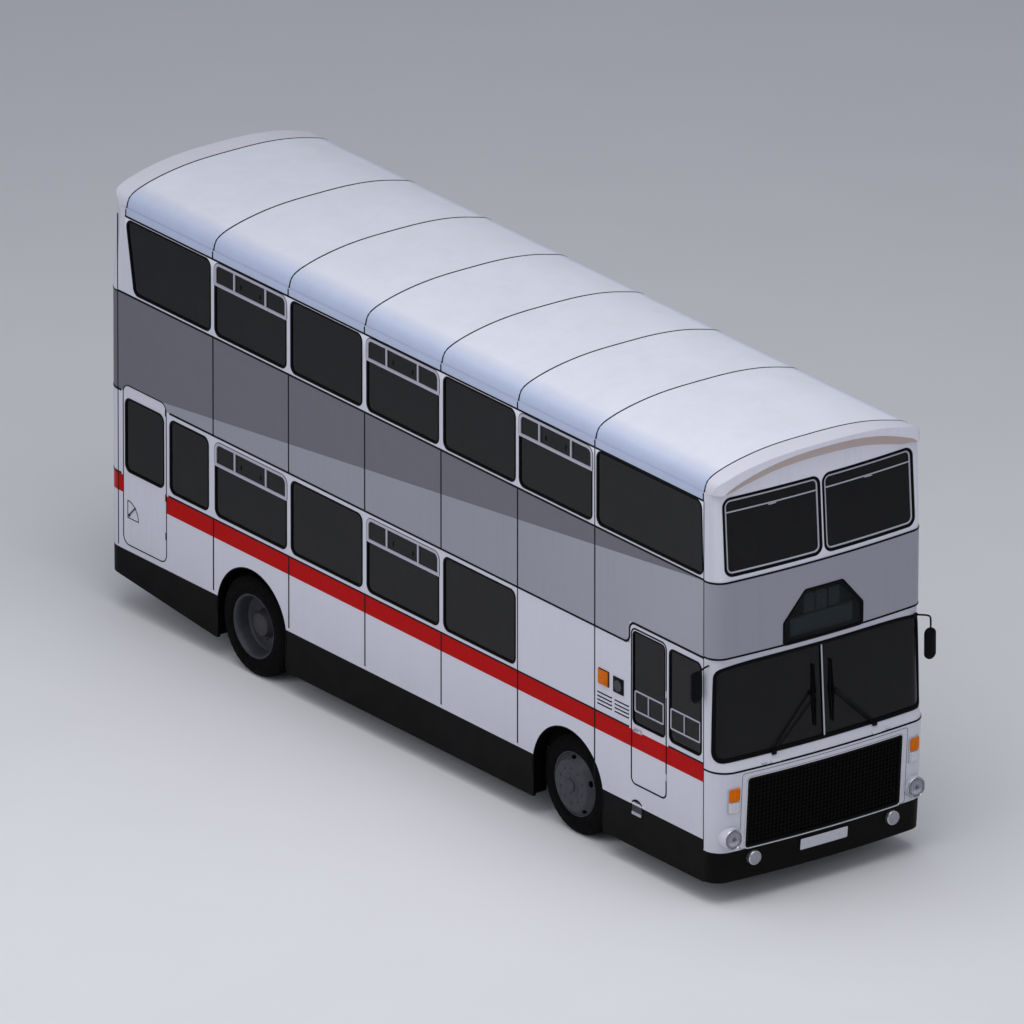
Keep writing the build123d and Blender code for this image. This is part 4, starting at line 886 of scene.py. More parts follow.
# rear: waist, band and upper lines
for z, w in ((1.431, 0.019), (2.290, 0.022)):
    a = R_LOW.s_of_y(RS, z)
    strip_end(B, R_LOW, -a, a, z, w)
a = R_LOW.s_of_y(RS, 3.30)
strip_end(B, R_LOW, -a, a, 3.302, 0.016)
for x in (-0.97, 0.97):
    strip_up(B, R_LOW, R_LOW.s_of_x(x, 1.0), 0.670, 1.423, 0.014)
    strip_up(B, R_LOW, R_LOW.s_of_x(x, 1.0), 2.300, 3.294, 0.014)
B.build("body_beading", "root", [seam_mat], "paint_black")

# roof joints: low strips across the skin
R = Piece()


def tree_of(*names):
    vs, fs = [], []
    for n in names:
        me = NODE[n].data
        k = len(vs)
        vs += [v.co.copy() for v in me.vertices]
        fs += [tuple(i + k for i in p.vertices) for p in me.polygons]
    return BVHTree.FromPolygons(vs, fs)


ROOF_TREE = tree_of("roof", "front_dome", "rear_dome")


def roof_path(y):
    """Points and normals found on the CAD roof skin itself, from cantrail to cantrail."""
    ctrl = dense([(-x, z) for x, z in ROOF_PTS] + [(x, z) for x, z in ROOF_PTS[-2::-1]], 0.06, False)
    out = []
    for i, (x, z) in enumerate(ctrl):
        a = ctrl[max(0, i - 1)]
        b = ctrl[min(len(ctrl) - 1, i + 1)]
        t = Vector((b[0] - a[0], b[1] - a[1])).normalized()
        n = Vector((-t.y, 0.0, t.x))
        start = Vector((x, y, z)) + n * 0.10
        hit = ROOF_TREE.ray_cast(start, -n, 0.2)
        p = hit[0] if hit[0] is not None else Vector((x, y, z))
        out.append((p, Vector((0, 1, 0)), n))
    return out


def roof_strip(P, y, w, t, sink=0.0015):
    prof = [(-w / 2, -sink), (-w / 2, t * 0.6), (-w * 0.2, t), (w * 0.2, t), (w / 2, t * 0.6), (w / 2, -sink)]
    P.sweep(roof_path(y), prof)


for y in [3.158, 1.948, 0.731, -0.483, -1.695, -2.912]:
    roof_strip(R, y, 0.018, 0.0036)
for y in [4.556, -4.610]:
    roof_strip(R, y, 0.016, 0.0032)
R.build("roof_joints", "root", [seam_mat], "paint_black")

# skirt joints
K = Piece()
for sx in (-1, 1):
    for y in (1.948, 0.731, -0.483, -1.695):
        K.sweep([(Vector((sx * 1.2455, y, z)), Vector((0, 1, 0)), Vector((sx, 0, 0))) for z in seq(0.26, 0.645, 0.1)],
                bead(0.018, 0.0045, 0.004))
skirt_seam = simple("skirt_joint", (56, 70, 80), 0.5, 0.3, 20.0)
K.build("skirt_joints", "root", [skirt_seam], "paint_black")

# =============================================================== doors on the offside
D = Piece()
mpr = side(-1)
# driver's door: rubber seal in the gap, light window surround, sliding frame, handle, hinges
D.ribbon(dense(rrect(-4.042, -3.485, 0.867, 2.468, 0.070), 0.15), [(0.002, -0.004), (0.002, 0.0024), (-0.002, 0.0042), (-0.009, 0.0042), (-0.0145, 0.0018), (-0.0145, -0.004)], mpr, m=2)
gasket_ring(D, rrect(-4.012, -3.517, 1.496, 2.433, 0.045), mpr, [(0.009, -0.001), (0.009, 0.003), (0.004, 0.0052), (-0.004, 0.0052), (-0.009, 0.001), (-0.009, -0.0075), (0.0, -0.0075)])


def slide_frame(P, y0, y1, z0, z1, div, m):
    x0, x1 = -(H - 0.0075), -(H + 0.0035)
    w = 0.013
    P.ribbon(dense(rrect(y0, y1, z0, z1, 0.014, 4), 0.15), [(w / 2, -0.0085), (w / 2, 0.002), (w / 2 - 0.002, 0.0035), (-w / 2 + 0.002, 0.0035), (-w / 2, 0.002), (-w / 2, -0.0085)], mpr, m=m)
    P.box((x0, div - 0.006, z0), (x1, div + 0.006, z1), 0.0015, m)


slide_frame(D, -3.990, -3.548, 1.625, 1.829, -3.756, 1)
D.build("driver_door_trim", "driver_door", [gasket_mat, silver, seam_mat], "black_plastic")
D = Piece()
D.box((-(H - 0.001), -3.655, 1.405), (-(H + 0.004), -3.530, 1.452), 0.0015, 1)
D.tube([(-(H + 0.001), -3.542, 1.430), (-(H + 0.020), -3.548, 1.430), (-(H + 0.024), -3.562, 1.430), (-(H + 0.024), -3.622, 1.430), (-(H + 0.020), -3.636, 1.430), (-(H + 0.001), -3.642, 1.430)], 0.0075, 12, 0)
for z in (1.10, 1.95):
    D.lathe([(-0.035, 0.0), (-0.035, 0.008), (0.035, 0.008), (0.035, 0.0)], (-(H + 0.0005), -4.036, z), "z", 16, 0)
D.build("driver_door_handle", "driver_door", [chrome, silver], "door_aluminium")

D = Piece()
slide_frame(D, -4.5625, -4.110, 1.625, 1.829, -4.319, 0)
D.build("cab_window_slides", "root", [silver], "door_aluminium")

# emergency door
D = Piece()
D.ribbon(dense(rrect(3.9125, 4.610, 0.717, 2.371, 0.090), 0.15), [(0.004, -0.004), (0.004, 0.0024), (0.000, 0.0040), (-0.0045, 0.0036), (-0.0075, 0.0018), (-0.0075, -0.004)], mpr)
gasket_ring(D, rrect(3.958, 4.569, 1.485, 2.233, 0.070), mpr)
for z in (1.00, 1.40, 2.28):
    D.lathe([(-0.035, 0.0), (-0.035, 0.0085), (0.035, 0.0085), (0.035, 0.0)], (-(H + 0.0005), 3.920, z), "z", 16)
D.build("emergency_door_seal", "emergency_door", [gasket_mat], "black_plastic")
D = Piece()
# quarter-round handle cover: rim, shallow floor and lever
q = []
cy, cz, rr = 4.540, 1.000, 0.172
q = [(4.540, 1.000), (4.368, 1.000)] + [(4.540 - 0.172 * math.cos(g), 1.000 + 0.178 * math.sin(g)) for g in [math.pi / 2 * j / 10 for j in range(1, 11)]]
if area2(q) < 0:
    q = q[::-1]
D.ribbon(dense(q, 0.05), [(0.004, -0.001), (0.004, 0.0022), (0.0, 0.0032), (-0.005, 0.0022), (-0.005, -0.001)], mpr, m=0)
D.tube([(-(H + 0.001), 4.515, 1.030), (-(H + 0.010), 4.512, 1.034), (-(H + 0.012), 4.490, 1.055), (-(H + 0.012), 4.430, 1.115), (-(H + 0.010), 4.418, 1.128), (-(H + 0.001), 4.412, 1.134)], 0.006, 10, 1)
D.lathe([(-0.002, 0.0), (-0.002, 0.016), (0.006, 0.016), (0.009, 0.012), (0.009, 0.0)], (-H - 0.002, 4.515, 1.030), "x", 24, 1)
D.build("emergency_door_handle", "emergency_door", [seam_mat, frame_steel], "door_aluminium")

# =============================================================== offside fittings
socket_grey = simple("socket_grey", (52, 53, 56), 0.5, 0.2, 30.0)
D = Piece()
# orange repeater
D.box((-(H - 0.001), -3.142, 1.725), (-(H + 0.006), -2.975, 1.885), 0.002, 0)
D.box((-(H + 0.004), -3.134, 1.733), (-(H + 0.022), -2.983, 1.877), 0.009, 1)
D.build("side_repeater_right", "root", [black_plastic, lens_orange], "lamp_lens")
D = Piece()
D.box((-(H - 0.001), -3.371, 1.715), (-(H + 0.010), -3.210, 1.875), 0.004, 0)
D.lathe([(-0.004, 0.0), (-0.004, 0.056), (0.0, 0.056), (0.001, 0.052), (-0.002, 0.048), (-0.002, 0.0)], (-(H + 0.010), -3.2885, 1.794), "x", 48, 1)
D.build("side_socket_cover", "root", [black_plastic, socket_grey], "black_plastic")
D = Piece()
for y0, y1 in ((-3.183, -2.954), (-3.450, -3.225)):
    for z in (1.635, 1.594, 1.556, 1.517):
        D.box((-(H - 0.001), y0, z - 0.010), (-(H + 0.0012), y1, z + 0.010), 0.0005, 0)
        # pressed hood over each slot
        D.sweep([(Vector((-H, y, z)), Vector((0, 0, 1)), Vector((-1, 0, 0))) for y in seq(y0 + 0.004, y1 - 0.004, 0.2)],
                [(0.0145, -0.001), (0.0145, 0.0015), (0.0115, 0.0055), (0.0095, 0.0065), (0.0085, 0.0055), (0.0100, 0.002), (0.0100, -0.001)], m=1)
D.build("side_louvres", "root", [gasket_mat, paint_white], "paint_white")
# same repeater on the nearside
D = Piece()
D.box((H - 0.001, -3.142, 1.725), (H + 0.006, -2.975, 1.885), 0.002, 0)
D.box((H + 0.004, -3.134, 1.733), (H + 0.022, -2.983, 1.877), 0.009, 1)
D.build("side_repeater_left", "root", [black_plastic, lens_orange], "lamp_lens")

# cab step recess: a flat dark sheet of painted shade stands in for its depth
D = Piece()
arch = [(-3.490, 0.552), (-3.490, 0.640)] + [(-3.5785 + 0.0885 * math.cos(g), 0.640 + 0.072 * math.sin(g)) for g in [math.pi * j / 12 for j in range(0, 13)]] + [(-3.667, 0.552)]
arch = [p for i, p in enumerate(arch) if i == 0 or (Vector(p) - Vector(arch[i - 1])).length > 1e-5]
if area2(arch) < 0:
    arch = arch[::-1]
D.ribbon(dense(arch, 0.04), [(0.006, -0.001), (0.006, 0.003), (0.0, 0.0045), (-0.010, 0.003), (-0.010, -0.001)], mpr, m=0)
# dark sheet laid inside the rim: painted shade of the recess
inner = offset_line(arch, -0.008)
n0 = len(inner)
vs = [mpr(a, b, 0.0008) for a, b in inner] + [mpr(a, b, -0.002) for a, b in inner]
D.add(vs, [tuple(range(n0)), tuple(range(2 * n0 - 1, n0 - 1, -1))] + [(i, i + n0, (i + 1) % n0 + n0, (i + 1) % n0) for i in range(n0)], 1)
D.box((-(H - 0.001), -3.650, 0.558), (-(H + 0.010), -3.508, 0.586), 0.002, 2)
for j in range(7):
    y = -3.640 + j * 0.020
    D.box((-(H + 0.008), y, 0.566), (-(H + 0.0125), y + 0.010, 0.584), 0.001, 2)
step_painted_shade = simple("cab_step_painted_shade", (44, 44, 50), 0.6, 0.3, 20.0)
D.build("cab_step", "root", [gasket_mat, step_painted_shade, silver], "black_plastic")

# =============================================================== wheel arch linings, drip moulding
AR = Piece()
for sx in (-1, 1):
    for yc in (-2.490, 2.545):
        zc, ra, hw = 0.536, 0.562, 0.552
        a0 = math.asin(math.sqrt(ra * ra - hw * hw) / ra)
        pts = [(yc - hw, 0.245), (yc - hw, 0.44)]
        for k in range(49):
            g = math.pi - a0 - (math.pi - 2 * a0) * k / 48
            pts.append((yc + ra * math.cos(g), zc + ra * math.sin(g)))
        pts += [(yc + hw, 0.44), (yc + hw, 0.245)]
        rows = []
        for i, q in enumerate(pts):
            t = Vector(pts[min(i + 1, len(pts) - 1)]) - Vector(pts[max(i - 1, 0)])
            n = Vector((t.y, -t.x)).normalized()
            if n.dot(Vector((yc, 0.45)) - Vector(q)) < 0:
                n = -n
            rows.append((Vector((sx * H, q[0], q[1])), Vector((0, n.x, n.y)), Vector((sx, 0, 0))))
        AR.sweep(rows, [(-0.0008, -0.160), (-0.0008, 0.0008), (0.004, 0.0022), (0.010, 0.0008), (0.010, -0.006), (0.006, -0.010), (0.006, -0.160)])
AR.build("wheel_arch_linings", "root", [gasket_mat], "black_plastic")

DM = Piece()
for sx in (-1, 1):
    runs = [(-4.616, -3.300), (-1.700, 1.800), (3.280, RS)] if sx < 0 else [(-4.616, -4.412), (-3.365, -3.300), (-1.700, 1.800), (3.280, RS)]
    for a, b in runs:
        DM.sweep([(Vector((sx * H, y, 0.6685)), Vector((0, 0, 1)), Vector((sx, 0, 0))) for y in seq(a, b, 0.4)],
                 [(-0.0135, -0.0015), (-0.0135, 0.0012), (-0.006, 0.0042), (0.004, 0.0046), (0.011, 0.0028), (0.014, 0.0004), (0.014, -0.0015)])
DM.build("panel_drip_moulding", "root", [paint_white], "paint_white")

# =============================================================== helpers for pads and gaskets on curved panels
def pad(P, outline, mp, prof, rings=3, crown=0.0, m=0):
    """Closed slab lying on a panel: prof is (d, h) from the back edge to the front edge."""
    c = Vector((sum(p[0] for p in outline) / len(outline), sum(p[1] for p in outline) / len(outline)))
    loops = []
    o0 = [Vector(p) for p in offset_line(outline, prof[0][0])]
    o1 = [Vector(p) for p in offset_line(outline, prof[-1][0])]
    h0, h1 = prof[0][1], prof[-1][1]
    for k in range(1, rings + 1):
        f = k / (rings + 1)
        loops.append([mp(*c.lerp(p, f), h0) for p in o0])
    for d, h in prof:
        loops.append([mp(a, b, h) for a, b in offset_line(outline, d)])
    for k in range(rings, 0, -1):
        f = k / (rings + 1)
        loops.append([mp(*c.lerp(p, f), h1 + crown * (1 - f * f)) for p in o1])
    n0 = len(P.v)
    P.grid(loops, False, True, m)
    k, r = len(outline), len(loops)
    P.v += [tuple(mp(c.x, c.y, h0)), tuple(mp(c.x, c.y, h1 + crown))]
    a, b = len(P.v) - 2, len(P.v) - 1
    for i in range(k):
        j = (i + 1) % k
        P.f += [(a, n0 + j, n0 + i), (b, n0 + (r - 1) * k + i, n0 + (r - 1) * k + j)]
        P.m += [m, m]


def gp(o, i, d, t=0.0066):
    return [(o, -0.001), (o, 0.5 * t), (o * 0.55, 0.93 * t), (0.0, t), (-i * 0.55, 0.85 * t), (-i, 0.0006), (-i, -d), (0.0, -d)]


EDGE = [(0.0, -0.002), (0.0, 0.003), (-0.0015, 0.0045), (-0.004, 0.005)]
LX, BX, UX, MX = E_LOW.xmap(), E_BAND.xmap(), E_UP.xmap(), E_BUMP.xmap()
RX, RU = R_LOW.xmap(), R_UP.xmap()

# =============================================================== windscreen
z0, z1, rz, ry, ys = 1.486, 2.424, 0.100, 0.070, -4.735
line = []
for j in range(11):
    g = math.pi / 2 * j / 10
    y, z = ys - ry + ry * math.sin(g), z0 + rz - rz * math.cos(g)
    line.append((E_LOW.s_of_y(y, z), z))
for z in seq(z0 + rz, z1 - rz, 0.06)[1:-1]:
    line.append((E_LOW.s_of_y(ys, z), z))
for j in range(11):
    g = math.pi / 2 * j / 10
    y, z = ys - ry + ry * math.cos(g), z1 - rz + rz * math.sin(g)
    _, r_, cyc_, _, A_, _, _ = E_LOW.parts(z)
    if math.acos(max(-1.0, min(1.0, (y - cyc_) * E_LOW.s / r_))) >= A_:
        line.append((E_LOW.s_of_y(y, z), z))
# the top edge climbs a little further along the bowed front
for x in seq(E_LOW.p(line[-1][0], line[-1][1]).x - 0.025, 0.430, 0.04):
    q = (E_LOW.p(E_LOW.s_of_x(x, z1), z1).y - (ys - ry)) / ry
    z = z1 - rz + rz * math.sqrt(max(0.0, 1.0 - q * q)) if q > 0.0 else z1
    line.append((E_LOW.s_of_x(x, z), z))
line = line + [(-s, z) for s, z in reversed(line)]
SM = E_LOW.smap()
W = Piece()
W.ribbon(dense(line, 0.05), gp(0.020, 0.020, 0.0095, 0.008), SM, m=0)
W.sweep([(E_LOW.p(0.0, z, -0.0095), Vector((1, 0, 0)), Vector((0, -1, 0))) for z in seq(z0 + 0.008, z1 - 0.008, 0.1)],
        [(-0.019, 0.0), (-0.019, 0.006), (-0.014, 0.0135), (0.014, 0.0135), (0.019, 0.006), (0.019, 0.0)], m=0)
W.sweep([(E_LOW.p(0.0, z, 0.003), Vector((1, 0, 0)), Vector((0, -1, 0))) for z in seq(z0 + 0.016, z1 - 0.016, 0.1)],
        [(-0.009, 0.0), (-0.0085, 0.002), (-0.004, 0.0038), (0.004, 0.0038), (0.0085, 0.002), (0.009, 0.0)], m=1)
W.build("windscreen_seal", "root", [gasket_mat, silver], "black_plastic")

# wipers: twin-rod arms, bridge and blade
W = Piece()
for s in (-1, 1):
    piv = Vector((s * 0.600, -4.871, 1.466))
    sp = E_LOW.p(E_LOW.s_of_x(piv.x, 1.466), 1.466)
    W.lathe([(0.0, 0.0), (0.0, 0.016), (0.012, 0.018), (0.028, 0.014), (0.030, 0.0)], (piv.x, sp.y - 0.030, piv.z), "y", 20, 0)
    end = Vector((s * 0.118, -4.882, 1.938))
    W.tube([piv, piv.lerp(end, 0.25) + Vector((0, -0.006, 0)), piv.lerp(end, 0.75) + Vector((0, -0.004, 0)), end], 0.0068, 10, 0)
    off = Vector((s * 0.020, 0.0, 0.020))
    W.tube([piv + off, (piv + off).lerp(end + off * 0.6, 0.5) + Vector((0, -0.004, 0)), end + off * 0.6 + Vector((s * -0.006, 0.0, 0.012))], 0.0038, 8, 0)
    W.box((piv.x - 0.026, piv.y - 0.012, piv.z - 0.016), (piv.x + 0.026, piv.y + 0.008, piv.z + 0.030), 0.006, 0)
    W.box((end.x - 0.016, end.y - 0.010, end.z - 0.020), (end.x + 0.012, end.y + 0.010, end.z + 0.028), 0.004, 0)
    x = s * 0.105
    pts = []
    for z in seq(1.620, 2.240, 0.04):
        pts.append(E_LOW.p(E_LOW.s_of_x(x, z), z, 0.014))
    W.sweep([(p, Vector((1, 0, 0)), Vector((0, -1, 0))) for p in pts], [(-0.002, -0.019), (-0.0035, -0.006), (-0.0055, 0.0), (-0.0055, 0.004), (0.0055, 0.004), (0.0055, 0.0), (0.0035, -0.006), (0.002, -0.019)], m=1)
    for a, b in ((1.690, 1.905), (1.955, 2.170)):
        W.tube([E_LOW.p(E_LOW.s_of_x(x, z), z, 0.019 + k) for z, k in ((a, 0.0), (a + 0.05, 0.008), (b - 0.05, 0.008), (b, 0.0))], 0.0035, 8, 0)
    W.tube([E_LOW.p(E_LOW.s_of_x(x, z), z, 0.028 + k) for z, k in ((1.80, 0.0), (1.87, 0.006), (1.99, 0.006), (2.06, 0.0))], 0.0045, 8, 0)
W.build("wiper_set", "root", [black_plastic, gasket_mat], "black_plastic", replaces=("wipers",))
W = Piece()
for s in (-1, 1):
    for x, z, w, h in ((0.600, 1.402, 0.060, 0.018), (0.735, 1.405, 0.030, 0.010)):
        pad(W, rrect(s * x - w, s * x + w, z - h, z + h, h * 0.8, 5) if s > 0 else rrect(-x - w, -x + w, z - h, z + h, h * 0.8, 5),
            LX, [(0.0, -0.004), (0.0, 0.004), (-0.005, 0.014), (-0.010, 0.017)], 1)
W.build("wiper_fairings", "root", [paint_front], "paint_white")

# =============================================================== grille
G = Piece()
outer = rrect(-0.925, 0.925, 0.552, 1.290, 0.040)
G.ribbon(dense(outer, 0.05), [(0.010, -0.002), (0.010, 0.004), (0.006, 0.0075), (-0.001, 0.0075), (-0.005, 0.004), (-0.005, -0.006), (0.002, -0.006)], LX, m=1)
nx, nz = 42, 16
for i in range(nx + 1):
    x = -0.893 + 1.786 * i / nx
    G.sweep([(LX(x, z, -0.023), Vector((1, 0, 0)), Vector((0, -1, 0))) for z in seq(0.584, 1.258, 0.12)],
            [(-0.003, -0.002), (-0.003, 0.012), (0.003, 0.012), (0.003, -0.002)], m=0)
for k in range(nz + 1):
    z = 0.584 + 0.674 * k / nz
    G.sweep([(LX(x, z, -0.023), Vector((0, 0, 1)), Vector((0, -1, 0))) for x in seq(-0.893, 0.893, 0.08)],
            [(-0.003, -0.002), (-0.003, 0.0105), (0.003, 0.0105), (0.003, -0.002)], m=0)
G.build("grille_lattice", "root", [grille_black, chrome], "grille_black")
# the faint joint round the lifting panel
G = Piece()
G.ribbon(dense(rrect(-0.985, 0.985, 0.5535, 1.342, 0.030), 0.05), [(0.0025, -0.001), (0.0025, 0.0012), (-0.0025, 0.0012), (-0.0025, -0.001)], LX)
G.build("front_panel_joint", "root", [skirt_seam], "paint_black")


# =============================================================== lamps
def lens_disc(P, at, R, depth, dirn, m, flutes=10.0, rings=16, n=60, dome=0.010, amp=0.0016):
    """Fluted lens facing along dirn (y only)."""
    loops = []
    for k in range(1, rings + 1):
        r = R * k / rings
        loop = []
        for j in range(n):
            a = 2 * math.pi * j / n
            x, z = r * math.cos(a), r * math.sin(a)
            h = dome * (1 - (r / R) ** 2)
            if k < rings:
                h += amp * math.cos(x / R * math.pi * flutes) + amp * 0.7 * math.cos(z / R * math.pi * flutes * 0.6)
            loop.append(Vector((at[0] + x, at[1] + dirn * h, at[2] + z)))
        loops.append(loop)
    back = []
    for k in (rings, rings // 2):
        r = R * k / rings * (1.0 if k == rings else 1.0)
        back.append([Vector((at[0] + r * math.cos(2 * math.pi * j / n), at[1] - dirn * depth, at[2] + r * math.sin(2 * math.pi * j / n))) for j in range(n)])
    n0 = len(P.v)
    P.grid(loops + back, False, True, m)
    P.v += [(at[0], at[1] + dirn * (dome + amp * 1.7), at[2]), (at[0], at[1] - dirn * depth, at[2])]
    a, b = len(P.v) - 2, len(P.v) - 1
    R_ = len(loops) + len(back)
    for i in range(n):
        j = (i + 1) % n
        P.f += [(a, n0 + i, n0 + j), (b, n0 + (R_ - 1) * n + j, n0 + (R_ - 1) * n + i)]
        P.m += [m, m]


lamp_glass = headlamp_glass()
L = Piece()
for s in (-1, 1):
    at = (s * 1.090, 0.0, 0.700)
    # body-coloured drum, chrome ring, bowl
    L.lathe([(-4.720, 0.100), (-4.720, 0.112), (-4.875, 0.112), (-4.883, 0.1105), (-4.888, 0.106), (-4.888, 0.100)], at, "y", 72, 0)
    L.lathe([(-4.882, 0.098), (-4.882, 0.107), (-4.889, 0.1065), (-4.8945, 0.103), (-4.8945, 0.099), (-4.889, 0.094), (-4.882, 0.094)], at, "y", 72, 1)
    L.lathe([(-4.885, 0.0), (-4.885, 0.097), (-4.860, 0.097), (-4.860, 0.0)][::-1], at, "y", 48, 4)
    lens_disc(L, (at[0], -4.8845, at[2]), 0.0955, 0.003, -1, 2, 7.0)
    at = (s * 0.825, 0.0, 0.445)
    L.lathe([(-4.780, 0.060), (-4.780, 0.073), (-4.868, 0.073), (-4.876, 0.070), (-4.8795, 0.066), (-4.8795, 0.062), (-4.872, 0.060)], at, "y", 56, 1)
    lens_disc(L, (at[0], -4.8735, at[2]), 0.0625, 0.004, -1, 3, 6.0, 10, 48, 0.005, 0.0009)
L.build("headlamps_and_fogs", "root", [paint_front, chrome, lamp_glass, lens_white, reflector], "lamp_lens", replaces=("front_lamps",))
L = Piece()
for s in (-1, 1):
    x0, x1 = (1.005, 1.135) if s > 0 else (-1.135, -1.005)
    pad(L, dense(rrect(x0, x1, 0.950, 1.222, 0.016, 4), 0.02), LX, [(0.0, -0.004), (0.0, 0.009), (-0.002, 0.0115), (-0.005, 0.0125)], 3, m=0)
    pad(L, dense(rrect(x0 + 0.010, x1 - 0.010, 1.080, 1.213, 0.016, 4), 0.02), LX, [(0.0, 0.009), (0.0, 0.0200), (-0.004, 0.0245), (-0.012, 0.0265)], 3, 0.002, m=1)
    pad(L, dense(rrect(x0 + 0.010, x1 - 0.010, 0.961, 1.071, 0.010, 4), 0.02), LX, [(0.0, 0.009), (0.0, 0.0195), (-0.004, 0.0240), (-0.012, 0.0260)], 3, 0.002, m=2)
L.build("front_indicators", "root", [silver, lens_orange, lens_marker], "lamp_lens")

# number plates: blank
L = Piece()
pad(L, dense(rrect(-0.292, 0.292, 0.374, 0.511, 0.008, 3), 0.05), MX, [(0.0, -0.003), (0.0, 0.005), (-0.002, 0.0065), (-0.004, 0.007)], 2, m=0)
pad(L, dense(rrect(-0.280, 0.280, 0.386, 0.499, 0.010, 3), 0.05), MX, [(0.0, 0.005), (0.0, 0.0085), (-0.001, 0.0095), (-0.003, 0.0097)], 2, m=1)
for x in (-0.18, 0.18):
    L.lathe([(0.0, 0.0), (0.0, 0.007), (-0.0025, 0.006), (-0.0035, 0.0)], MX(x, 0.4425, 0.0095), "y", 16, 2)
L.build("front_plate", "root", [black_plastic, plate_white, chrome], "lamp_lens")

# =============================================================== destination window
DST = rounded([(-0.465, 2.524), (0.465, 2.524), (0.465, 2.745), (0.220, 3.027), (-0.220, 3.027), (-0.465, 2.745)], 0.030)
D = Piece()
D.ribbon(dense(DST, 0.05), gp(0.014, 0.018, 0.010, 0.008), BX)
D.build("destination_gasket", "root", [gasket_mat], "black_plastic")
D = Piece()
pad(D, dense(offset_line(dense(DST, 0.06), -0.002), 0.06), BX, [(0.0, -0.0115), (0.0, -0.0065), (-0.0005, -0.0062)], 4)
D.build("destination_glass", "root", [glass_sign], "glass_dark")
D = Piece()


def blind(P, x0, x1, z0, z1, y, bow, m):
    """Roller blind stretched over two rollers."""
    rows = []
    for z in seq(z0, z1, 0.02):
        t = (z - z0) / (z1 - z0)
        h = bow * (1 - (2 * t - 1) ** 6)
        rows.append((z, y - h))
    prof = [(z, yy) for z, yy in rows] + [(z, yy + 0.003) for z, yy in reversed(rows)]
    n0 = len(P.v)
    xs = seq(x0, x1, 0.1)
    P.grid([[Vector((x, yy, z)) for z, yy in prof] for x in xs], False, True, m)
    k = len(prof)
    P.f += [tuple(n0 + i for i in reversed(range(k))), tuple(n0 + (len(xs) - 1) * k + i for i in range(k))]
    P.m += [m, m]
    for z in (z0 - 0.004, z1 + 0.004):
        P.lathe([(x0 - 0.006, 0.0), (x0 - 0.006, 0.011), (x1 + 0.006, 0.011), (x1 + 0.006, 0.0)], (0.0, y + 0.010, z), "x", 20, m + 1)


blind(D, -0.370, 0.370, 2.575, 2.748, -4.812, 0.006, 0)
for c in (-0.150, 0.0, 0.150):
    blind(D, c - 0.062, c + 0.062, 2.785, 2.965, -4.812, 0.006, 0)
D.build("destination_blinds", "root", [blind_mat, frame_steel], "grey_trim")
dress(sign_back, "destination_box")

# =============================================================== upper front windows
U = Piece()
for s in (-1, 1):
    x0, x1 = (0.024, 1.120) if s > 0 else (-1.120, -0.024)
    ring_ = rrect(x0, x1, 3.362, 4.128, 0.080, 9)
    U.ribbon(dense(ring_, 0.05), gp(0.014, 0.014, 0.013, 0.0070), UX, m=0)
    inn = offset_line(dense(ring_, 0.05), -0.024)
    U.ribbon(inn, [(0.0085, -0.0138), (0.0085, -0.006), (0.005, -0.0035), (-0.005, -0.0035), (-0.0085, -0.006), (-0.0085, -0.0138)], UX, m=1)
    U.sweep([(UX(x, 3.992, -0.0138), Vector((0, 0, 1)), Vector((0, -1, 0))) for x in seq(x0 + 0.03, x1 - 0.03, 0.06)],
            [(-0.0065, 0.0), (-0.0065, 0.007), (-0.004, 0.0092), (0.004, 0.0092), (0.0065, 0.007), (0.0065, 0.0)], m=1)
    U.box(tuple(UX(s * 0.572 - 0.045, 3.992, -0.005) + Vector((0, 0, -0.016))), tuple(UX(s * 0.572 + 0.045, 3.992, 0.002) + Vector((0, -0.0, -0.006))), 0.002, 1)
U.build("upper_front_window_frames", "root", [gasket_mat, silver], "black_plastic")

# =============================================================== mirrors
M_ = Piece()


def mirror_head(P, c, w, h, d):
    """Rounded shell, glass facing the rear."""
    shape = rrect(-w / 2, w / 2, -h / 2, h / 2, min(w, h) * 0.46, 9)
    mp = lambda a, b, t: Vector((c[0] + a, c[1] - t, c[2] + b))
    pad(P, dense(shape, 0.03), mp, [(-0.004, -d / 2), (0.0, -d / 2 + 0.003), (0.0, 0.004), (-0.006, d / 2 - 0.016), (-0.018, d / 2 - 0.004), (-0.034, d / 2)], 3, 0.003, m=0)
    P2 = offset_line(dense(shape, 0.03), -0.009)
    mq = lambda a, b, t: Vector((c[0] + a, c[1] + t, c[2] + b))
    pad(P, P2, mq, [(0.0, d / 2 - 0.004), (0.0, d / 2 - 0.0012), (-0.002, d / 2 - 0.0004)], 2, 0.0, m=1)


near = [(1.150, -4.775, 2.420), (1.195, -4.806, 2.416), (1.235, -4.826, 2.411), (1.262, -4.832, 2.402), (1.300, -4.812, 2.378), (1.324, -4.794, 2.350), (1.335, -4.782, 2.310), (1.335, -4.780, 2.150)]
M_.tube(near, 0.009, 12, 0)
mirror_head(M_, (1.335, -4.780, 2.080), 0.126, 0.316, 0.046)
M_.box((1.318, -4.800, 2.190), (1.352, -4.763, 2.226), 0.006, 0)
off = [(-1.225, -4.680, 2.450), (-1.262, -4.684, 2.447), (-1.300, -4.690, 2.442), (-1.322, -4.688, 2.430), (-1.333, -4.656, 2.400), (-1.335, -4.634, 2.372), (-1.335, -4.625, 2.300)]
M_.tube(off, 0.009, 12, 0)
mirror_head(M_, (-1.335, -4.625, 2.230), 0.126, 0.316, 0.046)
M_.box((-1.352, -4.644, 2.338), (-1.318, -4.608, 2.372), 0.006, 0)
M_.lathe([(0.0, 0.0), (0.0, 0.026), (0.010, 0.024), (0.012, 0.0)], (1.150, -4.790, 2.420), "y", 24, 0)
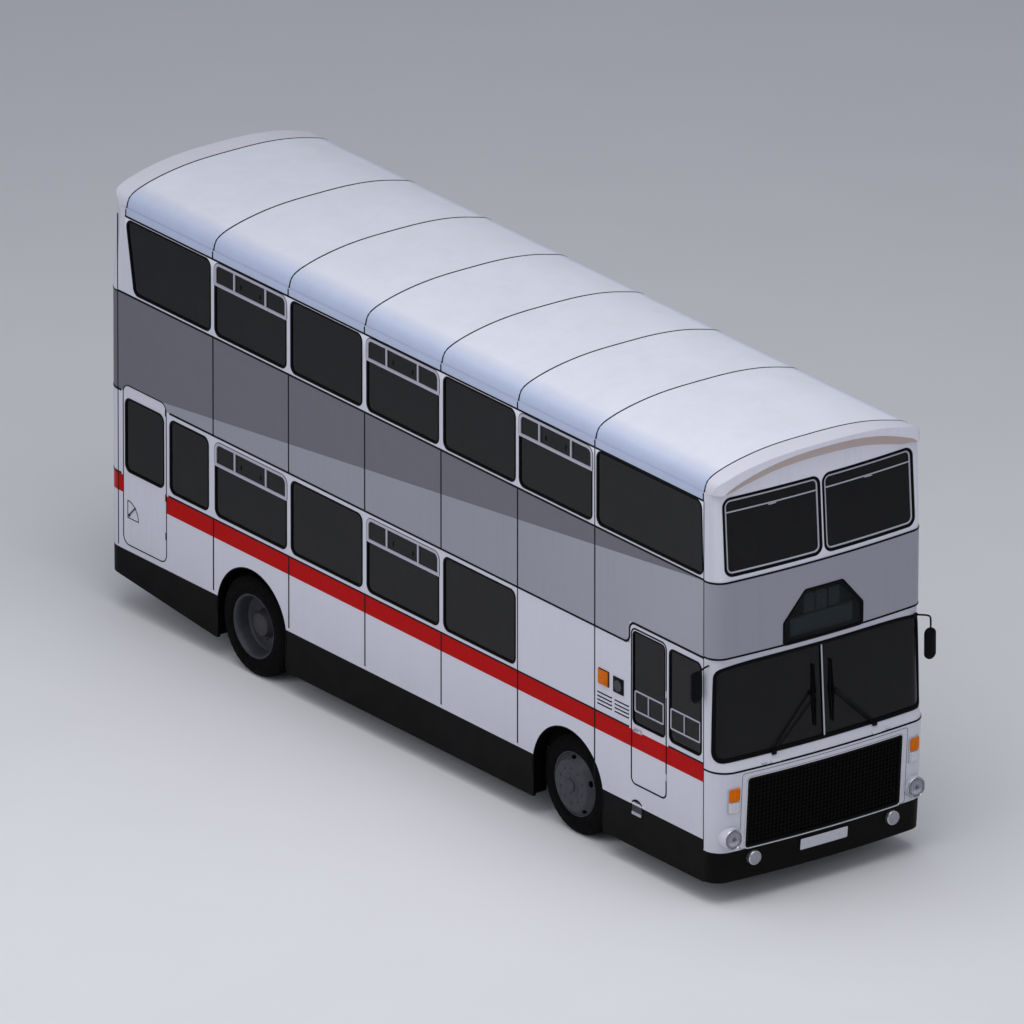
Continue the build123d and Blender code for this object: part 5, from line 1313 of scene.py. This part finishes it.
M_.build("mirror_set", "root", [black_plastic, mirror_glass], "black_plastic", replaces=("mirrors",))

# =============================================================== rear end
T = Piece()
T.ribbon(dense(rrect(-0.850, 0.850, 1.500, 2.230, 0.090, 9), 0.05), gp(0.014, 0.016, 0.0095, 0.0070), RX)
T.ribbon(dense(rrect(-0.760, 0.760, 3.430, 4.050, 0.090, 9), 0.05), gp(0.016, 0.016, 0.0095, 0.0080), RU)
T.build("rear_window_gaskets", "root", [gasket_mat], "black_plastic")
T = Piece()
for s in (-1, 1):
    x0, x1 = (0.985, 1.115) if s > 0 else (-1.115, -0.985)
    pad(T, dense(rrect(x0, x1, 0.780, 1.200, 0.014, 4), 0.02), RX, [(0.0, -0.003), (0.0, 0.006), (-0.002, 0.008), (-0.004, 0.0085)], 2, m=0)
    for k, (a, b) in enumerate(((1.068, 1.192), (0.930, 1.056), (0.790, 0.918))):
        c = (x0 + x1) / 2
        RR = 0.054
        circ = [(c + RR * math.cos(2 * math.pi * j / 40), (a + b) / 2 + RR * math.sin(2 * math.pi * j / 40)) for j in range(40)]
        pad(T, circ, RX, [(0.0, 0.006), (0.0, 0.0110), (-0.003, 0.0135), (-0.008, 0.0145)], 6, -0.0015, m=k + 1)
T.build("rear_lamp_clusters", "root", [black_plastic, lens_orange, lens_red, lens_clear], "rear_lens", replaces=("rear_lamps",))
T = Piece()
pad(T, dense(rrect(-0.292, 0.292, 0.980, 1.116, 0.008, 3), 0.05), RX, [(0.0, -0.002), (0.0, 0.004), (-0.002, 0.0055), (-0.004, 0.006)], 2, m=0)
pad(T, dense(rrect(-0.280, 0.280, 0.992, 1.104, 0.010, 3), 0.05), RX, [(0.0, 0.004), (0.0, 0.0072), (-0.001, 0.0080), (-0.003, 0.0083)], 2, m=1)
T.box((-0.10, 4.930 - 0.002, 1.122), (0.10, 4.930 - 0.0, 1.150), 0.004, 0)
T.build("rear_plate", "root", [black_plastic, plate_yellow], "rear_lens")
# emergency window hardware and upper marker lamps
T = Piece()
for x in (-0.62, 0.62):
    T.lathe([(-0.040, 0.0), (-0.040, 0.008), (0.040, 0.008), (0.040, 0.0)], RU(x, 4.068, 0.004), "x", 16, 0)
T.box(tuple(RU(-0.09, 3.438, -0.012)), tuple(RU(0.09, 3.462, -0.0008)), 0.003, 0)
T.tube([RU(-0.070, 3.450, -0.002), RU(-0.062, 3.450, 0.0), RU(0.062, 3.450, 0.0), RU(0.070, 3.450, -0.002)], 0.0045, 10, 1)
for x in (-0.98, 0.98):
    pad(T, [(x + 0.034 * math.cos(2 * math.pi * j / 28), 4.170 + 0.022 * math.sin(2 * math.pi * j / 28)) for j in range(28)], RU,
        [(0.0, -0.002), (0.0, 0.004), (-0.004, 0.007), (-0.008, 0.008)], 2, 0.001, m=2)
    pad(T, [(x * 0.93 + 0.030 * math.cos(2 * math.pi * j / 28), 0.720 + 0.030 * math.sin(2 * math.pi * j / 28)) for j in range(28)], RX,
        [(0.0, -0.002), (0.0, 0.0015), (-0.002, 0.003), (-0.005, 0.0035)], 2, 0.0, m=2)
T.build("rear_window_hardware", "root", [black_plastic, chrome, lens_red], "door_aluminium")

# =============================================================== wheels
def boolean_cut(ob, cutters):
    """Cuts closed pieces out of a mesh object and keeps the result as its own mesh."""
    for c in cutters:
        m = ob.modifiers.new("cut", "BOOLEAN")
        m.operation = "DIFFERENCE"
        m.solver = "EXACT"
        m.object = c
    dg = bpy.context.evaluated_depsgraph_get()
    me = bpy.data.meshes.new_from_object(ob.evaluated_get(dg))
    ob.modifiers.clear()
    old = ob.data
    ob.data = me
    bpy.data.meshes.remove(old)
    for c in cutters:
        bpy.data.objects.remove(c)
    me.shade_smooth()
    me.set_sharp_from_angle(angle=math.radians(32))


def tyre_piece(P, x, y, s, m=0):
    """Ribbed tread with shoulder blocks, sidewall mouldings; x is the centre plane, s points outwards."""
    R = 0.5085
    half = [(0.124, 0.3125), (0.130, 0.318), (0.134, 0.328), (0.1375, 0.344), (0.1392, 0.366), (0.1404, 0.369), (0.1404, 0.374), (0.1396, 0.377), (0.1400, 0.404),
            (0.1385, 0.430), (0.1345, 0.452), (0.1330, 0.4535), (0.1330, 0.4575), (0.1300, 0.466), (0.1240, 0.481), (0.1160, 0.494), (0.1050, 0.5025), (0.0930, 0.5065), (0.0800, R)]
    tread = [(0.070, R), (0.068, R - 0.010), (0.062, R - 0.010), (0.060, R), (0.034, R), (0.032, R - 0.011), (0.026, R - 0.011), (0.024, R),
             (-0.024, R), (-0.026, R - 0.011), (-0.032, R - 0.011), (-0.034, R), (-0.060, R), (-0.062, R - 0.010), (-0.068, R - 0.010), (-0.070, R)]
    prof = half + tread + [(-t, r) for t, r in reversed(half)]
    n = 168
    nh = len(half)

    def mod(k, t, r, j):
        if 0.100 < abs(t) < 0.134 and r > 0.462 and (j % 4) in (0,):
            return r - 0.0045
        if abs(t) <= 0.100 and abs(t) >= 0.070 and (j % 4) == 0 and r > 0.50:
            return r - 0.005
        return r

    P.lathe([(s * t, r) for t, r in prof] if s > 0 else [(s * t, r) for t, r in prof], (x, y, 0.509), "x", n, m, mod)


def hexnut(P, at, s, r, h, m):
    """Nut with a flat washer and a stud end, pointing outwards."""
    x, y, z = at
    P.lathe([(0.0, 0.0), (0.0, r * 1.25), (s * 0.003, r * 1.25), (s * 0.003, 0.0)], at, "x", 20, m)
    rows = []
    for t, k in ((s * 0.002, 1.0), (s * (h - 0.002), 1.0), (s * h, 0.88)):
        rows.append([Vector((x + t, y + r * k * math.cos(math.pi / 3 * j), z + r * k * math.sin(math.pi / 3 * j))) for j in range(6)])
    n0 = len(P.v)
    P.grid(rows, False, True, m)
    P.f += [tuple(n0 + j for j in reversed(range(6))), tuple(n0 + 12 + j for j in range(6))]
    P.m += [m, m]
    P.lathe([(s * (h - 0.002), 0.0), (s * (h - 0.002), r * 0.52), (s * (h + 0.007), r * 0.50), (s * (h + 0.009), 0.0)], at, "x", 14, m)


def cutter(name, at, r, x0, x1, ry=None, turn=0.0):
    """Closed oval prism along x: r across and ry along the direction at the angle turn."""
    P = Piece()
    ry = ry or r
    ct, st = math.cos(turn), math.sin(turn)
    n = 28
    rows = []
    for x in (x0, x1):
        row = []
        for j in range(n):
            a = 2 * math.pi * j / n
            u, v = ry * math.cos(a), r * math.sin(a)
            row.append(Vector((x, at[1] + u * ct - v * st, at[2] + u * st + v * ct)))
        rows.append(row)
    n0 = len(P.v)
    P.grid(rows, False, True)
    P.f += [tuple(n0 + j for j in reversed(range(n))), tuple(n0 + n + j for j in range(n))]
    P.m += [0, 0]
    me = bpy.data.meshes.new(name)
    me.from_pydata(P.v, [], P.f)
    bm = bmesh.new()
    bm.from_mesh(me)
    bmesh.ops.recalc_face_normals(bm, faces=bm.faces)
    bm.to_mesh(me)
    bm.free()
    ob = bpy.data.objects.new(name, me)
    scene.collection.objects.link(ob)
    return ob


BARREL = [(-0.126, 0.287), (-0.126, 0.3115), (0.116, 0.3115), (0.1195, 0.318), (0.1245, 0.3245), (0.1290, 0.3255), (0.1320, 0.3220), (0.1310, 0.315),
          (0.122, 0.306), (0.100, 0.300), (0.078, 0.2935), (0.050, 0.289), (0.030, 0.287)]

for side_, s in (("left", 1), ("right", -1)):
    # ---- front
    x, y, z = s * 1.040, -2.500, 0.509
    P = Piece()
    tyre_piece(P, x, y, s)
    P.build("front_tyre_tread_" + side_, "front_wheel_" + side_, [tyre_mat], "tyre", replaces=("front_tyre_" + side_,), angle=30)
    P = Piece()
    P.lathe([(s * t, r) for t, r in BARREL], (x, y, z), "x", 96)
    P.build("front_rim_barrel_" + side_, "front_wheel_" + side_, [wheel_grey], "wheel_paint", replaces=("front_rim_" + side_,), angle=28)
    P = Piece()
    P.lathe([(s * t, r) for t, r in [(0.165, 0.060), (0.181, 0.060), (0.181, 0.238), (0.1798, 0.246), (0.1758, 0.2535), (0.1680, 0.2610), (0.1300, 0.3045), (0.1260, 0.3075),
                                     (0.1150, 0.3065), (0.1190, 0.3020), (0.1570, 0.2560), (0.1630, 0.2480), (0.165, 0.240)]], (x, y, z), "x", 120)
    disc = P.build("front_rim_disc_" + side_, "front_wheel_" + side_, [wheel_grey], "wheel_paint", angle=28)
    cuts = []
    for k in range(5):
        a = math.radians(162.0 + 72.0 * k)
        cuts.append(cutter("cut", (x, y + 0.2830 * math.cos(a), z + 0.2830 * math.sin(a)), 0.0360, x - 0.25, x + 0.25, 0.0175, a))
    boolean_cut(disc, cuts)
    P = Piece()
    P.lathe([(s * t, r) for t, r in [(-0.080, 0.0455), (0.086, 0.0455), (0.086, 0.0), (0.2010, 0.0), (0.2018, 0.014), (0.2012, 0.052), (0.1985, 0.0610), (0.1930, 0.0655),
                                     (0.1845, 0.0665), (0.1840, 0.0700), (0.1845, 0.0740), (0.1858, 0.0760), (0.1868, 0.1080), (0.1860, 0.1130), (0.1835, 0.1160), (0.1815, 0.1180),
                                     (0.1640, 0.1180), (0.1640, 0.0920), (-0.080, 0.0920)]], (x, y, z), "x", 72, 0)
    for k in range(10):
        a = math.radians(36.0 * k + 18.0)
        P.lathe([(0.0, 0.0), (0.0, 0.0165), (s * 0.0030, 0.0160), (s * 0.0036, 0.0120), (s * 0.0024, 0.0100), (s * 0.0060, 0.0085), (s * 0.0068, 0.0)], (x + s * 0.1808, y + 0.175 * math.cos(a), z + 0.175 * math.sin(a)), "x", 16, 0)
    for k in range(8):
        a = math.radians(45.0 * k)
        P.lathe([(0.0, 0.0), (0.0, 0.0060), (s * 0.003, 0.0055), (s * 0.004, 0.0)], (x + s * 0.1866, y + 0.092 * math.cos(a), z + 0.092 * math.sin(a)), "x", 10, 0)
    P.tube([(x + s * 0.140, y + 0.262, z + 0.020), (x + s * 0.160, y + 0.272, z + 0.022), (x + s * 0.166, y + 0.284, z + 0.024)], 0.004, 8, 1)
    P.build("front_hub_" + side_, "front_wheel_" + side_, [wheel_grey, cast_iron], "wheel_paint", angle=28)
    # ---- rear pair
    y = 2.540
    xo, xi = s * 1.100, s * 0.790
    P = Piece()
    tyre_piece(P, xo, y, s)
    tyre_piece(P, xi, y, s)
    P.build("rear_tyre_treads_" + side_, "rear_wheels_" + side_, [tyre_mat], "tyre", replaces=("rear_tyres_" + side_,), angle=30)
    P = Piece()
    P.lathe([(s * t, r) for t, r in BARREL], (xo, y, z), "x", 96)
    P.lathe([(s * t, r) for t, r in BARREL], (xi, y, z), "x", 96)
    P.lathe([(s * t, r) for t, r in [(0.060, 0.2868), (0.076, 0.2868), (0.1595, 0.168), (0.1595, 0.106), (0.146, 0.106), (0.146, 0.166)]], (xi, y, z), "x", 96)
    P.build("rear_rim_barrels_" + side_, "rear_wheels_" + side_, [wheel_grey], "wheel_paint", replaces=("rear_rims_" + side_,), angle=28)
    P = Piece()
    P.lathe([(s * t, r) for t, r in [(-0.0450, 0.060), (-0.0310, 0.060), (-0.0310, 0.2340), (-0.0300, 0.2460), (-0.0268, 0.2600), (-0.0225, 0.2720), (-0.0150, 0.2795), (0.0000, 0.2835),
                                     (0.0600, 0.2895), (0.1000, 0.2960), (0.1180, 0.3040), (0.1262, 0.3130), (0.1262, 0.3160), (0.1200, 0.3150), (0.1140, 0.3090), (0.0960, 0.3020),
                                     (0.0560, 0.2940), (-0.0080, 0.2875), (-0.0360, 0.2865), (-0.0420, 0.2600), (-0.0450, 0.2400)]], (xo, y, z), "x", 96)
    disc = P.build("rear_rim_disc_" + side_, "rear_wheels_" + side_, [wheel_grey], "wheel_paint", angle=28)
    P = Piece()
    P.lathe([(s * t, r) for t, r in [(-0.228, 0.0485), (-0.054, 0.0485), (-0.054, 0.0), (0.0530, 0.0), (0.0545, 0.012), (0.0540, 0.1060), (0.0525, 0.1110), (0.0480, 0.1145),
                                     (-0.0200, 0.1420), (-0.0270, 0.1462), (-0.0285, 0.1500), (-0.0295, 0.1525), (-0.0320, 0.1530), (-0.0460, 0.1530), (-0.0500, 0.1500),
                                     (-0.228, 0.1500)]], (xo, y, z), "x", 72, 0)
    for k in range(10):
        a = math.radians(36.0 * k + 18.0)
        P.lathe([(0.0, 0.0), (0.0, 0.0165), (s * 0.0030, 0.0160), (s * 0.0036, 0.0120), (s * 0.0024, 0.0100), (s * 0.0060, 0.0085), (s * 0.0068, 0.0)], (xo - s * 0.0312, y + 0.175 * math.cos(a), z + 0.175 * math.sin(a)), "x", 16, 0)
    for k in range(8):
        a = math.radians(45.0 * k + 10.0)
        P.lathe([(0.0, 0.0), (0.0, 0.0070), (s * 0.003, 0.0065), (s * 0.004, 0.0)], (xo + s * 0.0538, y + 0.090 * math.cos(a), z + 0.090 * math.sin(a)), "x", 10, 0)
    P.build("rear_hub_" + side_, "rear_wheels_" + side_, [wheel_hub, cast_iron], "wheel_paint", angle=28)
# =============================================================== padded seats
def round_box(sx, sy, sz, r, seg=4):
    bm = bmesh.new()
    bmesh.ops.create_cube(bm, size=1.0)
    for v in bm.verts:
        v.co = Vector((v.co.x * sx, v.co.y * sy, v.co.z * sz))
    bmesh.ops.bevel(bm, geom=list(bm.edges), offset=r, segments=seg, profile=0.5, affect="EDGES")
    return bm


def swollen(size, r, voxel, cap, up, limits, tufts):
    """A pad swelled by cloth pressure. up is the crowned face's direction (0 x, 1 y, 2 z, with sign)."""
    bm = round_box(size[0], size[1], size[2], r)
    me = bpy.data.meshes.new("pad_form")
    bm.to_mesh(me)
    bm.free()
    ob = bpy.data.objects.new("pad_form", me)
    scene.collection.objects.link(ob)
    rm = ob.modifiers.new("remesh", "REMESH")
    rm.mode, rm.voxel_size = "VOXEL", voxel
    bpy.context.view_layer.update()
    dg = bpy.context.evaluated_depsgraph_get()
    me2 = bpy.data.meshes.new_from_object(ob.evaluated_get(dg))
    bpy.data.objects.remove(ob)
    rest = [v.co.copy() for v in me2.vertices]
    ax, sg = up
    ob = bpy.data.objects.new("pad_cloth", me2)
    scene.collection.objects.link(ob)
    vg = ob.vertex_groups.new(name="pin")
    vg.add([i for i, p in enumerate(rest) if p[ax] * sg < -size[ax] * 0.38], 1.0, "REPLACE")
    cl = ob.modifiers.new("cloth", "CLOTH")
    st = cl.settings
    st.quality = 6
    st.mass = 0.3
    st.tension_stiffness = 15
    st.compression_stiffness = 15
    st.bending_stiffness = 4.0
    st.use_pressure = True
    st.uniform_pressure_force = 4.0
    st.vertex_group_mass = "pin"
    st.effector_weights.gravity = 0.0
    cl.collision_settings.use_collision = False
    cl.collision_settings.use_self_collision = False
    for f in range(1, 21):
        scene.frame_set(f)
    dg = bpy.context.evaluated_depsgraph_get()
    got = bpy.data.meshes.new_from_object(ob.evaluated_get(dg))
    moved = [v.co.copy() for v in got.vertices]
    bpy.data.meshes.remove(got)
    bpy.data.objects.remove(ob)
    scene.frame_set(1)
    out = []
    for p, q in zip(rest, moved):
        d = q - p
        ln = d.length
        if ln > 1e-9:
            d *= cap * math.tanh(ln / cap) / ln
        q = p + d
        for fn in tufts:
            q = fn(q, p)
        out.append(Vector([min(max(q[i], limits[i][0]), limits[i][1]) for i in range(3)]))
    for v, q in zip(me2.vertices, out):
        v.co = q
    me2.update()
    return me2


def channel(axis, at, width, depth, face_axis, sign):
    """A sewn channel across the crowned face."""
    def fn(q, p):
        if p[face_axis] * sign > 0:
            q = q.copy()
            q[face_axis] -= sign * depth * math.exp(-((q[axis] - at) / width) ** 2)
        return q
    return fn


def waist_in(size, axes, depth, face_axis):
    """Side walls pull in between the corners."""
    def fn(q, p):
        q = q.copy()
        for a in axes:
            b = [i for i in axes if i != a][0]
            if abs(p[a]) > size[a] / 2 * 0.86:
                q[a] -= math.copysign(depth * max(0.0, 1.0 - (2 * q[b] / size[b]) ** 2), q[a])
        return q
    return fn


def piping(me, corners_axes, size, off_axis, level, inset, r, segs=96):
    """Sewn piping laid on the pad's own surface round its face."""
    bm = bmesh.new()
    bm.from_mesh(me)
    tree = BVHTree.FromBMesh(bm)
    bm.free()
    a, b = corners_axes
    pts = []
    ring = rounded([(-size[a] / 2 + inset, -size[b] / 2 + inset), (size[a] / 2 - inset, -size[b] / 2 + inset),
                    (size[a] / 2 - inset, size[b] / 2 - inset), (-size[a] / 2 + inset, size[b] / 2 - inset)], 0.035, 6)
    for u, v in dense(ring, 0.03):
        o = Vector((0, 0, 0))
        o[a], o[b], o[off_axis] = u * 1.3, v * 1.3, level
        t = Vector((0, 0, 0))
        t[a], t[b], t[off_axis] = u * 0.8, v * 0.8, level
        hit = tree.ray_cast(o, (t - o).normalized())[0]
        if hit is None:
            hit = tree.find_nearest(o)[0]
        pts.append(hit)
    P = Piece()
    n = len(pts)
    fr = []
    for i, p in enumerate(pts):
        t = (pts[(i + 1) % n] - pts[i - 1]).normalized()
        w = Vector((0, 0, 0))
        w[off_axis] = 1.0
        fr.append((p, w, t.cross(w).normalized()))
    P.sweep(fr, [(r * math.cos(g), r * math.sin(g)) for g in [2 * math.pi * k / 6 for k in range(6)]], True)
    return P


def to_object(name, me, mat, body, matrix, replaces=()):
    ob = bpy.data.objects.new(name, me)
    if not me.materials:
        me.materials.append(mat)
    ob.matrix_world = matrix
    scene.collection.objects.link(ob)
    bpy.context.view_layer.update()
    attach(ob, body)
    if replaces:
        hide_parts(*replaces)
    return ob


CS = (0.862, 0.422, 0.066)
cushion_me = swollen(CS, 0.020, 0.023, 0.016, (2, 1), ((-0.4345, 0.4345), (-0.2145, 0.2145), (-0.040, 0.0445)),
                     [waist_in(CS, (0, 1), 0.004, 2), channel(0, 0.0, 0.020, 0.008, 2, 1)])
cushion_me.name = "seat_cushion_form"
cushion_me.shade_smooth()
BS = (0.862, 0.055, 0.548)
back_me = swollen(BS, 0.018, 0.023, 0.012, (1, -1), ((-0.4345, 0.4345), (-0.0370, 0.0365), (-0.279, 0.279)),
                  [waist_in(BS, (0, 2), 0.004, 1), channel(0, 0.0, 0.020, 0.007, 1, -1), channel(2, 0.120, 0.016, 0.005, 1, -1)])
back_me.name = "seat_back_form"
back_me.shade_smooth()
cushion_pipe = piping(cushion_me, (0, 1), CS, 2, 0.022, 0.0, 0.0032)
back_pipe = piping(back_me, (0, 2), BS, 1, -0.018, 0.0, 0.0032)

SEATS = []
for k in range(5):
    SEATS += [(0.735, -1.620 + 0.7 * k, 0.700), (-0.735, -1.620 + 0.7 * k, 0.700)]
SEATS += [(0.735, 3.250, 0.700), (-0.735, 3.250, 0.700), (0.735, 3.950, 0.700)]
for k in range(12):
    y = -4.050 + 0.7 * k
    if y < 4.3:
        SEATS.append((0.735, y, 2.600))
        if y > -1.83:
            SEATS.append((-0.735, y, 2.600))
TILT = Matrix.Rotation(math.radians(-8.0), 4, "X")


def moved_piece(P, src, mat4, m=0):
    P.add([mat4 @ Vector(v) for v in src.v], src.f, m)


PP, HR = Piece(), Piece()
for i, (x, y, z) in enumerate(SEATS):
    cm = Matrix.Translation((x, y + 0.215, z + 0.405))
    bmx = Matrix.Translation((x, y + 0.455, z + 0.455)) @ TILT @ Matrix.Translation((0, 0.0375, 0.280))
    to_object("seat_cushion_%02d" % (i + 1), cushion_me, cloth_mat, "root", cm, ("passenger_seats",))
    to_object("seat_back_%02d" % (i + 1), back_me, cloth_mat, "root", bmx, ("passenger_seats",))
    moved_piece(PP, cushion_pipe, cm)
    moved_piece(PP, back_pipe, bmx)
    # shell plate under the cushion and the grab rail over the back
    PP.box((x - 0.418, y + 0.012, z + 0.3585), (x + 0.418, y + 0.418, z + 0.3665), 0.003, 1)
    tf = lambda a, b, c: bmx @ Vector((a, b, c))
    HR.tube([tf(-0.300, 0.052, 0.190), tf(-0.300, 0.054, 0.270), tf(-0.288, 0.050, 0.318), tf(-0.250, 0.046, 0.338), tf(0.0, 0.044, 0.342),
             tf(0.250, 0.046, 0.338), tf(0.288, 0.050, 0.318), tf(0.300, 0.054, 0.270), tf(0.300, 0.052, 0.190)], 0.0125, 10)
PP.build("seat_piping_and_pans", "root", [piping_mat, frame_steel], "seat_fabric", weld=False)
# stanchions between floor and ceiling on both saloons
for z0, z1, rows in ((0.700, 2.514, (0, 2, 4)), (2.600, 4.370, (4, 6, 8))):
    for k in rows:
        y = (-1.620 if z0 < 1 else -4.050) + 0.7 * k + 0.47
        for sx in (-1, 1):
            if z0 > 1 and sx < 0 and y < -1.4:
                continue
            HR.tube([(sx * 0.262, y, z0 + 0.001), (sx * 0.262, y, z1)], 0.016, 12)
            HR.lathe([(0.0005, 0.0), (0.0005, 0.034), (0.008, 0.030), (0.010, 0.0)], (sx * 0.262, y, z0), "z", 16)
HR.build("handrails", "root", [rail_orange], "grey_trim", weld=False)

# driver's seat: sprung cushion and shaped back in vinyl, bellows base
DC = (0.470, 0.460, 0.078)
dc_me = swollen(DC, 0.026, 0.012, 0.014, (2, 1), ((-0.2395, 0.2395), (-0.2345, 0.2345), (-0.047, 0.0495)),
                [waist_in(DC, (0, 1), 0.004, 2), channel(0, 0.150, 0.010, 0.008, 2, 1), channel(0, -0.150, 0.010, 0.008, 2, 1), channel(1, 0.02, 0.010, 0.004, 2, 1)])
dc_me.name = "driver_cushion_form"
dc_me.shade_smooth()
DB = (0.450, 0.064, 0.545)
db_me = swollen(DB, 0.024, 0.012, 0.014, (1, -1), ((-0.2295, 0.2295), (-0.0445, 0.0430), (-0.2795, 0.2795)),
                [waist_in(DB, (0, 2), 0.006, 1), channel(0, 0.140, 0.010, 0.007, 1, -1), channel(0, -0.140, 0.010, 0.007, 1, -1), channel(2, 0.04, 0.010, 0.004, 1, -1)])
db_me.name = "driver_back_form"
db_me.shade_smooth()
dcm = Matrix.Translation((-0.750, -3.895, 1.320))
dbm = Matrix.Translation((-0.750, -3.620, 1.660)) @ TILT
to_object("driver_seat_cushion", dc_me, vinyl_mat, "root", dcm, ("driver_seat",))
to_object("driver_seat_back", db_me, vinyl_mat, "root", dbm, ("driver_seat",))
DP = Piece()
moved_piece(DP, piping(dc_me, (0, 1), DC, 2, 0.020, 0.0, 0.0035), dcm)
moved_piece(DP, piping(db_me, (0, 2), DB, 1, -0.016, 0.0, 0.0035), dbm)
prof = [(0.0, 1.00), (0.030, 1.02), (0.055, 0.93)]
rows = []
zs = [0.851, 0.880]
for k in range(7):
    zs += [0.900 + 0.050 * k, 0.925 + 0.050 * k]
zs += [1.262, 1.272]
for j, z in enumerate(zs):
    g = 0.0 if j in (0, 1) else (-0.016 if j % 2 == 0 else 0.0)
    rows.append([Vector((a, b, z)) for a, b in rrect(-0.880 - g, -0.620 + g, -4.020 - g, -3.740 + g, 0.040, 5)])
n = len(DP.v)
DP.grid(rows, False, True, 1)
c = len(rows[0])
DP.f += [tuple(n + i for i in reversed(range(c))), tuple(n + (len(rows) - 1) * c + i for i in range(c))]
DP.m += [1, 1]
DP.build("driver_seat_base", "root", [piping_mat, gasket_mat], replaces=("driver_seat",), weld=False)

# =============================================================== entrance doors
for tag, (y0, y1) in (("front", (-4.397, -3.893)), ("rear", (-3.887, -3.383))):
    D = Piece()
    body = "entrance_leaf_" + tag
    mo = side(1, 1.245)
    slim = [(0.010, -0.001), (0.010, 0.0010), (0.004, 0.0018), (-0.004, 0.0018), (-0.009, 0.000), (-0.009, -0.0135), (0.0, -0.0135)]
    inn = lambda a, b, h: Vector((1.210 - h, a, b))
    for z0, z1 in ((0.900, 2.335), (0.436, 0.840)):
        D.ribbon(dense(rrect(y0 + 0.055, y1 - 0.055, z0, z1, 0.040), 0.12), slim, mo, m=0)
        D.ribbon(dense(rrect(y0 + 0.055, y1 - 0.055, z0, z1, 0.040), 0.12), slim, inn, m=0)
    # rubber edges, kick plate and grab rail inside
    for ye in (y0 + 0.006, y1 - 0.006):
        D.sweep([(Vector((1.245, ye, z)), Vector((0, 1, 0)), Vector((1, 0, 0))) for z in seq(0.350, 2.391, 0.3)],
                [(-0.0055, -0.0005), (-0.0055, 0.0010), (0.0, 0.0017), (0.0055, 0.0010), (0.0055, -0.0005)], m=0)
    D.sweep([(Vector((1.2445, y, 0.372)), Vector((0, 0, 1)), Vector((1, 0, 0))) for y in seq(y0 + 0.016, y1 - 0.016, 0.2)],
            [(-0.020, -0.0005), (-0.020, 0.0012), (0.020, 0.0012), (0.020, -0.0005)], m=1)
    yr = (y1 - 0.030) if tag == "front" else (y0 + 0.030)
    D.tube([(1.2105, yr, 1.10), (1.186, yr, 1.105), (1.176, yr, 1.125), (1.176, yr, 1.725), (1.186, yr, 1.745), (1.2105, yr, 1.75)], 0.011, 12, 2)
    D.build("entrance_leaf_trim_" + tag, body, [gasket_mat, chrome, rail_orange], "black_plastic", weld=False)
D = Piece()
yr = -3.362
D.tube([(1.185, -3.350, 1.05), (1.150, -3.350, 1.06), (1.140, -3.350, 1.09), (1.140, -3.350, 1.80), (1.150, -3.350, 1.83), (1.185, -3.350, 1.84)], 0.016, 12, 0)
D.build("entrance_grab_rail", "root", [rail_orange], "grey_trim")

# =============================================================== floor, light, camera
fm = Mat("studio_floor", lin(232, 233, 236), 0.85)
fm.base(fm.mix(fm.mapr(fm.noise(0.6, 3.0), 0.3, 0.7, 0.0, 0.25), lin(234, 235, 238), lin(226, 227, 230)))
fm.rough(fm.mapr(fm.noise(2.0), 0.3, 0.7, 0.8, 0.9))
me = bpy.data.meshes.new("floor")
S = 400.0
me.from_pydata([(-S, -S, -0.002), (S, -S, -0.002), (S, S, -0.002), (-S, S, -0.002)], [], [(0, 1, 2, 3)])
me.materials.append(fm.m)
floor = bpy.data.objects.new("floor", me)
scene.collection.objects.link(floor)

world = bpy.data.worlds.new("studio")
world.use_nodes = True
wt = world.node_tree
wt.nodes.clear()
wo = wt.nodes.new("ShaderNodeOutputWorld")
bg = wt.nodes.new("ShaderNodeBackground")
bg.inputs[0].default_value = (0.80, 0.84, 0.95, 1.0)
bg.inputs[1].default_value = 0.34
wt.links.new(bg.outputs[0], wo.inputs[0])
scene.world = world


def area_light(name, loc, aim, size, power, color=(1, 1, 1)):
    l = bpy.data.lights.new(name, "AREA")
    l.shape = "RECTANGLE"
    l.size, l.size_y = size
    l.energy = power
    l.color = color
    o = bpy.data.objects.new(name, l)
    o.location = loc
    o.rotation_mode = "QUATERNION"
    o.rotation_quaternion = (Vector(aim) - Vector(loc)).to_track_quat("-Z", "Y")
    scene.collection.objects.link(o)
    return o


area_light("key_top", (-3.0, -4.0, 17.0), (0.0, 0.0, 2.0), (16.0, 18.0), 1700.0, (1.0, 0.99, 0.98))
area_light("fill_side", (-17.0, 2.0, 9.0), (0.0, 0.0, 2.0), (12.0, 12.0), 560.0, (0.97, 0.97, 1.0))
area_light("fill_front", (2.0, -19.0, 8.0), (0.0, -3.0, 2.0), (12.0, 10.0), 260.0, (0.98, 0.98, 1.0))

cam = bpy.data.cameras.new("camera")
cam.type = "PERSP"
cam.lens = 1500.0
cam.sensor_width = 36.0
cam.sensor_fit = "HORIZONTAL"
co = bpy.data.objects.new("camera", cam)
scene.collection.objects.link(co)
aim = Vector((0.0, 0.0516, 2.195))
back = Vector((-0.5583, -0.7408, 0.3735)).normalized()
WIDE_M = 1024 / 104.6
dist = WIDE_M / 36.0 * 1500.0
co.location = aim + back * dist
co.rotation_mode = "QUATERNION"
co.rotation_quaternion = (-back).to_track_quat("-Z", "Y")
cam.clip_start, cam.clip_end = 1.0, 4000.0
scene.camera = co
scene.view_settings.view_transform = "Standard"
scene.view_settings.look = "None"
